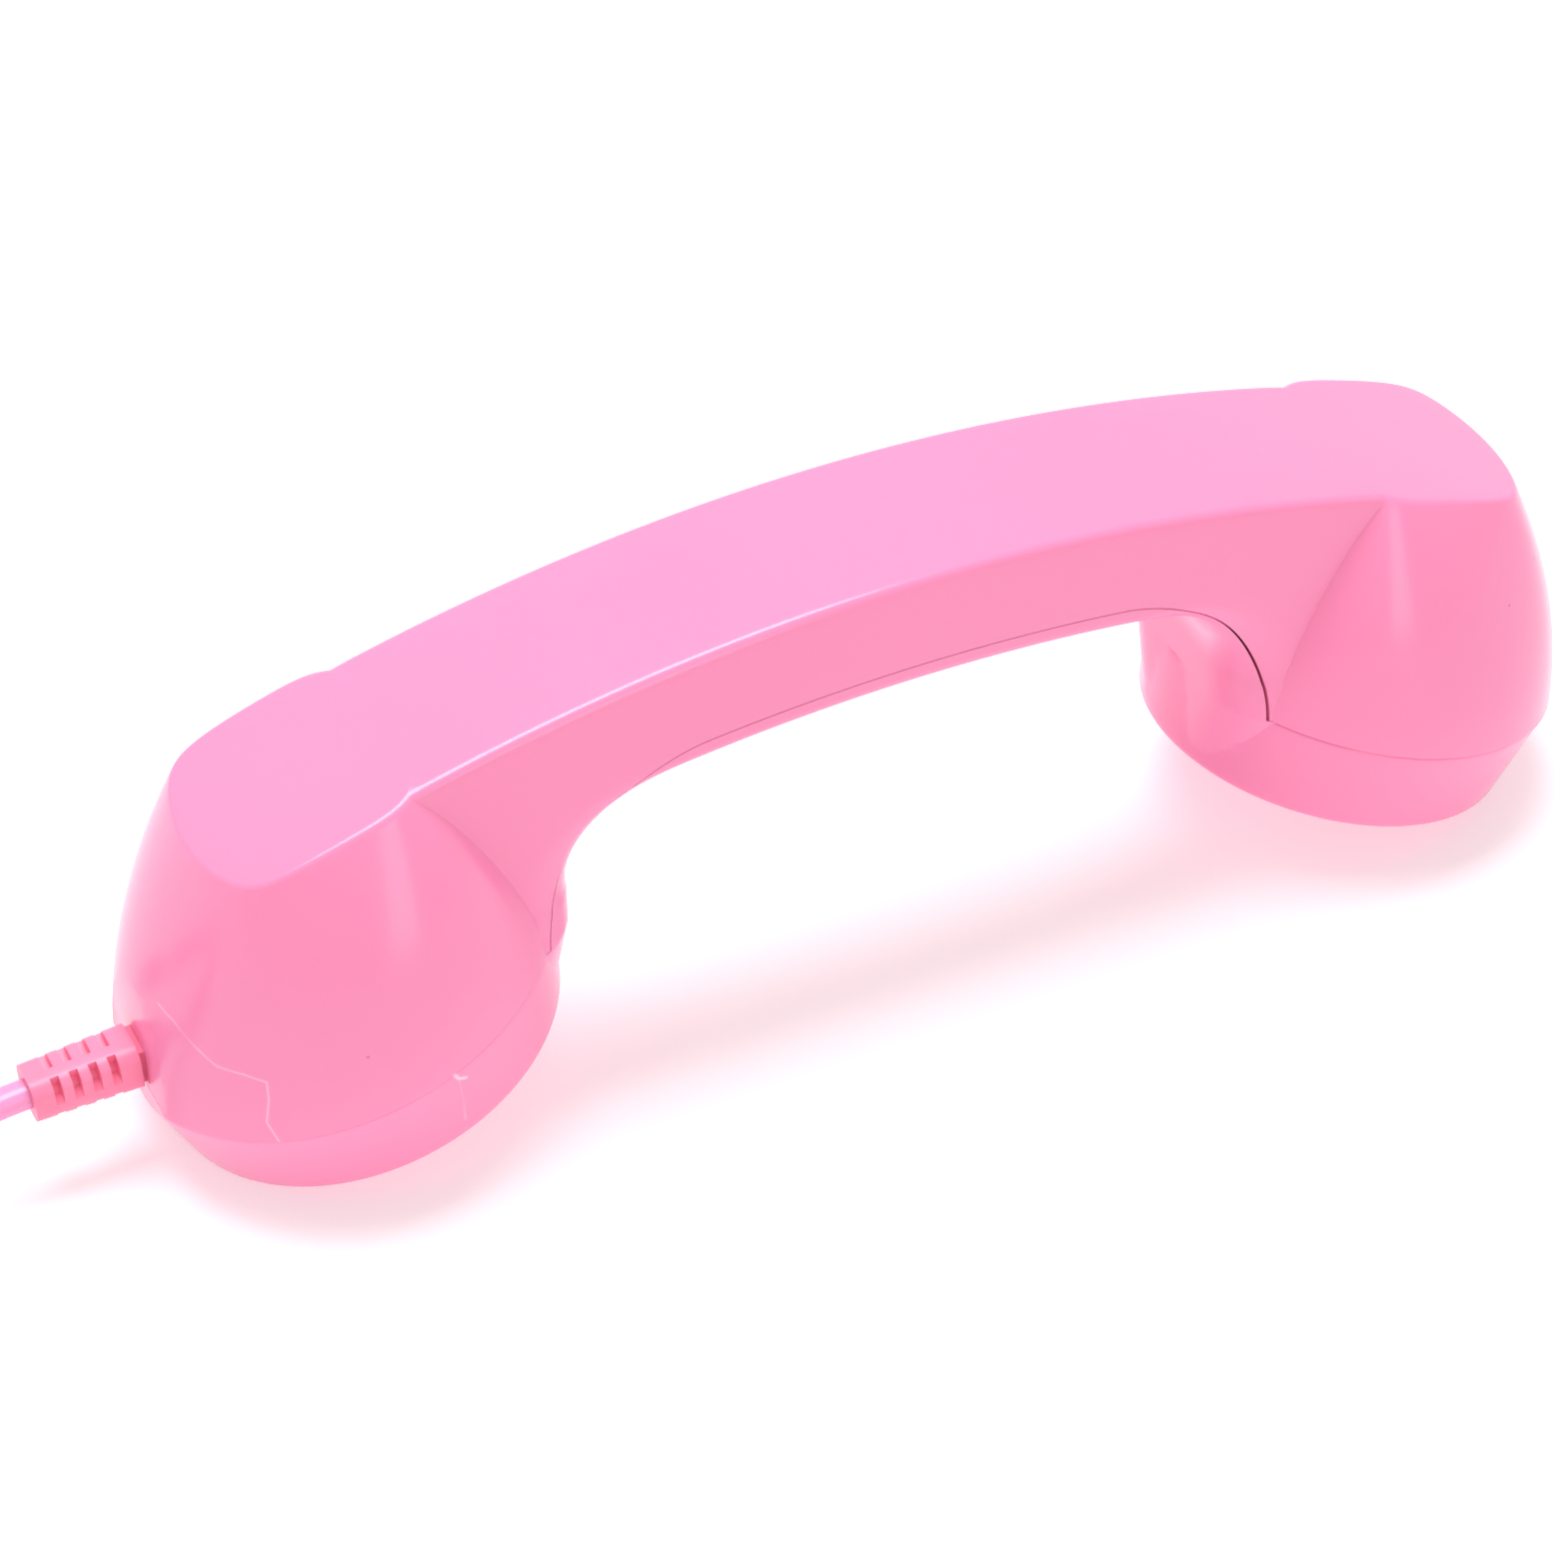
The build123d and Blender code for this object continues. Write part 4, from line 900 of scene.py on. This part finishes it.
# How far the tool reaches past the handset: outwards, down, up and to each side
TOOL_OUT, TOOL_LOW, TOOL_HIGH, TOOL_HALF = 20, -30, 120, 40


def seam_outline(gap, gap_ear, above=False):
    # What lies under the seam, or what lies above it
    far = END_X + TOOL_OUT
    r = GRIP_UNDER_R + SEAM_RISE + gap
    neck_x = SEAM_X - SEAM_NECK_R
    rim_z = RIM_Z + gap / cos(TILT)
    far_z = rim_z + (CUP_X - far) * tan(TILT)
    halves = []
    for side, neck_gap in ((-1, gap), (1, gap_ear)):
        neck_r = SEAM_NECK_R + neck_gap
        neck_z = UNDER_C + sqrt((r - neck_r)**2 - neck_x**2)
        rise = (neck_x - CUP_X) * sin(TILT) + (neck_z - rim_z) * cos(TILT)
        along = sqrt(neck_r**2 - rise**2)
        low_x = neck_x - rise * sin(TILT) + along * cos(TILT)
        low_z = neck_z - rise * cos(TILT) - along * sin(TILT)
        first, last = atan2(low_z - neck_z, low_x - neck_x), atan2(neck_z - UNDER_C, neck_x)
        points = [(side * far, TOOL_HIGH if above else TOOL_LOW), (side * far, far_z)]
        for k in range(SEAM_NECK_STEPS + 1):
            a = first + (last - first) * k / SEAM_NECK_STEPS
            points.append((side * (neck_x + neck_r * cos(a)), neck_z + neck_r * sin(a)))
        for k in range(1, SEAM_GRIP_STEPS):
            a = last + (pi / 2 - last) * k / SEAM_GRIP_STEPS
            points.append((side * r * cos(a), UNDER_C + r * sin(a)))
        halves.append(points)
    return halves[0] + [(0, UNDER_C + r)] + halves[1][::-1]


def prism(name, outline, half):
    count = len(outline)
    verts = [(x, y, z) for y in (-half, half) for x, z in outline]
    faces = [tuple(range(count)), tuple(range(2 * count - 1, count - 1, -1))]
    faces += [(k, (k + 1) % count, (k + 1) % count + count, k + count) for k in range(count)]
    return closed_object(name, verts, faces)


def seam_tool(name, gap=0, gap_ear=0, above=False):
    return prism(name, seam_outline(gap, gap_ear, above), TOOL_HALF)


print("points along the seam:", len(seam_outline(0, 0)))

# %% [markdown]
# Booleans join the skins and cut them, and the exact solver keeps the result closed. It can leave two points
# a hair apart, so each shell is closed up once more and its open edges are counted, which should be none.

# %% Joining, cutting and closing
HAIR = 0.002
LAND_OUT = 6
SHELL_ANGLE = radians(24)


def land_tool(name):
    # A box that cuts the flat land on which the strain relief stands
    low_x, high_x = -END_X - LAND_OUT, -LAND_X
    outline = [(low_x, LAND_LOW), (high_x, LAND_LOW), (high_x, LAND_HIGH), (low_x, LAND_HIGH)]
    return prism(name, outline, LAND_HALF)


def combine(target, tools, kind):
    # Applies booleans with each tool and removes the tools
    for tool in tools:
        step = target.modifiers.new("step", "BOOLEAN")
        step.operation = kind
        step.solver = "EXACT"
        step.object = tool
    bpy.context.view_layer.update()
    depsgraph = bpy.context.evaluated_depsgraph_get()
    mesh = bpy.data.meshes.new_from_object(target.evaluated_get(depsgraph))
    target.modifiers.clear()
    old = target.data
    target.data = mesh
    bpy.data.meshes.remove(old)
    for tool in tools:
        bpy.data.objects.remove(tool)


def finish_shell(shell):
    # Merges the points that a boolean leaves a hair apart, closes what is still open and gives the finish
    bm = bmesh.new()
    bm.from_mesh(shell.data)
    bmesh.ops.remove_doubles(bm, verts=bm.verts, dist=HAIR * MM)
    bmesh.ops.dissolve_degenerate(bm, edges=bm.edges, dist=HAIR * MM)
    bmesh.ops.holes_fill(bm, edges=[edge for edge in bm.edges if edge.is_boundary], sides=0)
    open_edges = sum(1 for edge in bm.edges if not edge.is_manifold)
    bm.to_mesh(shell.data)
    bm.free()
    shell.data.materials.clear()
    shell.data.materials.append(FINISH["pink_plastic"])
    soften(shell, SHELL_ANGLE)
    print(shell.name, "faces", len(shell.data.polygons), "open edges", open_edges)


# %% [markdown]
# The outer shell is the handle and both domes in one, less all that lies under the seam. It could be split
# off with a flat knife, but the real parting follows the rims and climbs over the necks, and it shows.

# %% The outer shell


def make_outer():
    shell = handle_skin("outer_skin")
    combine(shell, [dome_skin("dome_right", 1), dome_skin("dome_left", -1)], "UNION")
    combine(shell, [seam_tool("zone_outer", SEAM_GAP, SEAM_GAP_EAR), land_tool("land_outer")], "DIFFERENCE")
    finish_shell(shell)
    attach(shell, "root")
    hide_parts("outer_shell")


make_outer()

# %% [markdown]
# The faces are pierced by rings of small round holes, through which one hears and speaks. Holes that repeat
# round a circle are made by a small tree of Geometry Nodes: the corners of a regular polygon carry one pin
# each, and the pins are cut from the shell.

# %% Pins on a ring
PIN_SIDES = 24


def pin_tree():
    tree = bpy.data.node_groups.new("pins on a ring", "GeometryNodeTree")
    sockets = {}
    for name, kind in (("Count", "Int"), ("Ring Radius", "Float"), ("Pin Radius", "Float"),
                       ("Pin Length", "Float"), ("Finish", "Material")):
        socket = tree.interface.new_socket(name, in_out="INPUT", socket_type="NodeSocket" + kind)
        sockets[name] = socket.identifier
    tree.interface.new_socket("Geometry", in_out="OUTPUT", socket_type="NodeSocketGeometry")
    enter, leave = tree.nodes.new("NodeGroupInput"), tree.nodes.new("NodeGroupOutput")
    ring = tree.nodes.new("GeometryNodeMeshCircle")
    pin = tree.nodes.new("GeometryNodeMeshCylinder")
    pin.inputs["Vertices"].default_value = PIN_SIDES
    place = tree.nodes.new("GeometryNodeInstanceOnPoints")
    real = tree.nodes.new("GeometryNodeRealizeInstances")
    paint = tree.nodes.new("GeometryNodeSetMaterial")
    for source, name, target in (
            (enter, "Count", ring.inputs["Vertices"]), (enter, "Ring Radius", ring.inputs["Radius"]),
            (enter, "Pin Radius", pin.inputs["Radius"]), (enter, "Pin Length", pin.inputs["Depth"]),
            (ring, "Mesh", place.inputs["Points"]), (pin, "Mesh", place.inputs["Instance"]),
            (place, "Instances", real.inputs["Geometry"]), (real, "Geometry", paint.inputs["Geometry"]),
            (enter, "Finish", paint.inputs["Material"]), (paint, "Geometry", leave.inputs["Geometry"])):
        tree.links.new(source.outputs[name], target)
    return tree, sockets


PIN_TREE, PIN_SOCKETS = pin_tree()


def pin_tool(name, count, ring_r, pin_r, length, side, w):
    # A ring of pins square to a cup's face, at height w above its rim, as a plain mesh
    obj = mesh_object(name, [(0, 0, 0)], [])
    step = obj.modifiers.new("pins", "NODES")
    step.node_group = PIN_TREE
    for key, value in (("Count", count), ("Ring Radius", ring_r * MM), ("Pin Radius", pin_r * MM),
                       ("Pin Length", length * MM), ("Finish", FINISH["pink_plastic"])):
        step[PIN_SOCKETS[key]] = value
    bpy.context.view_layer.update()
    mesh = bpy.data.meshes.new_from_object(obj.evaluated_get(bpy.context.evaluated_depsgraph_get()))
    obj.modifiers.clear()
    turn = Matrix.Rotation(side * TILT, 4, "Y")
    mesh.transform(Matrix.Translation(to_frame(cup_points(side, 0, 0, w))) @ turn)
    obj.data = mesh
    return obj


print("inputs of the pins:", *PIN_SOCKETS)

# %% [markdown]
# The ear's face has two rings of holes round a middle one, and the mouth's face has one ring of finer holes.
# Two wider pins sink the wells in which the heads of the case screws sit, in the underside of the grip.

# %% Tools for the holes and the wells
EAR_HOLE_R, EAR_RINGS = 1.0, ((5.0, 6), (10.0, 12))
MOUTH_HOLE_R, MOUTH_RINGS = 0.8, ((4.0, 6),)
HOLE_DEEP = 1.6
ROUND_SIDES = 32
SCREW_X, WELL_R, WELL_SINK, WELL_HALF = 30.0, 2.8, 1.8, 4.0


def round_tool(name, radius, half, at, tilt=0.0):
    obj = mesh_object(name, [(0, 0, 0)], [])
    bm = bmesh.new()
    bmesh.ops.create_cone(bm, cap_ends=True, segments=ROUND_SIDES, radius1=radius * MM, radius2=radius * MM,
                          depth=2 * half * MM)
    bm.transform(Matrix.Translation(at) @ Matrix.Rotation(tilt, 4, "Y"))
    bm.to_mesh(obj.data)
    bm.free()
    return obj


def hole_tools():
    tools = []
    for side, radius, rings in ((1, EAR_HOLE_R, EAR_RINGS), (-1, MOUTH_HOLE_R, MOUTH_RINGS)):
        middle = to_frame(cup_points(side, 0, 0, -FACE_DEPTH))
        tools.append(round_tool(f"pin_{side}", radius, HOLE_DEEP, middle, side * TILT))
        for ring_r, count in rings:
            name = f"pins_{side}_{count}"
            tools.append(pin_tool(name, count, ring_r, radius, 2 * HOLE_DEEP, side, -FACE_DEPTH))
    return tools


def well_tools():
    floor_z = UNDER_C + sqrt(GRIP_UNDER_R**2 - SCREW_X**2) + WELL_SINK
    return [round_tool(f"well_{side}", WELL_R, WELL_HALF, to_frame((side * SCREW_X, 0, floor_z - WELL_HALF)))
            for side in (-1, 1)]


for cup, rings in (("ear", EAR_RINGS), ("mouth", MOUTH_RINGS)):
    print("holes in the", cup, "face:", 1 + sum(count for _, count in rings))

# %% [markdown]
# The inner shell is the handle and both rings in one, less all that lies above the seam. What is left is the
# band under the grip, the two necks and the two cups, and then the holes and the wells are cut from it.

# %% The inner shell


def make_inner():
    shell = handle_skin("inner_skin")
    combine(shell, [ring_skin("ring_right", 1), ring_skin("ring_left", -1)], "UNION")
    combine(shell, [seam_tool("zone_inner", above=True), land_tool("land_inner")], "DIFFERENCE")
    combine(shell, hole_tools() + well_tools(), "DIFFERENCE")
    finish_shell(shell)
    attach(shell, "root")
    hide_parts("inner_shell")


make_inner()

# %% [markdown]
# The ground is a plain pale floor. It is white to the camera and keeps the soft shadow of the handset. The
# light is that of a product table: one wide soft lamp overhead, a little behind the handset, which gives the
# grip its pale top, a tall weak one in front, which draws the upright highlights on the domes, and an even
# surround that is white to the camera and in reflections.

# %% Floor and light
FLOOR_HALF = 2.0
FLOOR_WHITE, FLOOR_ROUGH, FLOOR_GLOW = (0.74, 0.74, 0.74, 1), 0.7, 0.40
SURROUND, SURROUND_SEEN = 0.46, 1.0
LIGHT_AIM = (0, 0, 0.03)
# Each lamp's name, place, size in metres and watts
LAMPS = (("key", (-0.05, 0.32, 1.4), (1.0, 0.7), 21), ("front", (0.14, -1.3, 0.42), (0.42, 0.8), 2.2))


def make_floor():
    corners = [(x * FLOOR_HALF, y * FLOOR_HALF, 0) for x, y in ((-1, -1), (1, -1), (1, 1), (-1, 1))]
    floor = mesh_object("floor", corners, [(0, 1, 2, 3)])
    material, _, shader, _ = plain_tree("floor_white")
    shader.inputs["Base Color"].default_value = FLOOR_WHITE
    shader.inputs["Roughness"].default_value = FLOOR_ROUGH
    shader.inputs["Emission Color"].default_value = (1, 1, 1, 1)
    shader.inputs["Emission Strength"].default_value = FLOOR_GLOW
    floor.data.materials.append(material)


def area_lamp(name, at, size, watts):
    data = bpy.data.lights.new(name, "AREA")
    data.shape = "RECTANGLE"
    data.size, data.size_y = size
    data.energy = watts
    lamp = bpy.data.objects.new(name, data)
    bpy.context.collection.objects.link(lamp)
    aim = Vector(LIGHT_AIM) - Vector(at)
    lamp.matrix_world = Matrix.Translation(at) @ aim.to_track_quat("-Z", "Y").to_matrix().to_4x4()


def make_world():
    world = bpy.data.worlds.new("surround")
    world.use_nodes = True
    tree = world.node_tree
    back = tree.nodes["Background"]
    back.inputs["Color"].default_value = (1, 1, 1, 1)
    rays = tree.nodes.new("ShaderNodeLightPath").outputs
    seen = larger(tree, rays["Is Camera Ray"], rays["Is Transmission Ray"])
    seen = larger(tree, seen, rays["Is Glossy Ray"])
    tree.links.new(spread(tree, seen, SURROUND, SURROUND_SEEN), back.inputs["Strength"])
    bpy.context.scene.world = world


make_floor()
make_world()
for lamp in LAMPS:
    area_lamp(*lamp)
bpy.context.scene.view_settings.view_transform = "Standard"
print("lamps:", len(LAMPS), "together", sum(watts for *_, watts in LAMPS), "W")
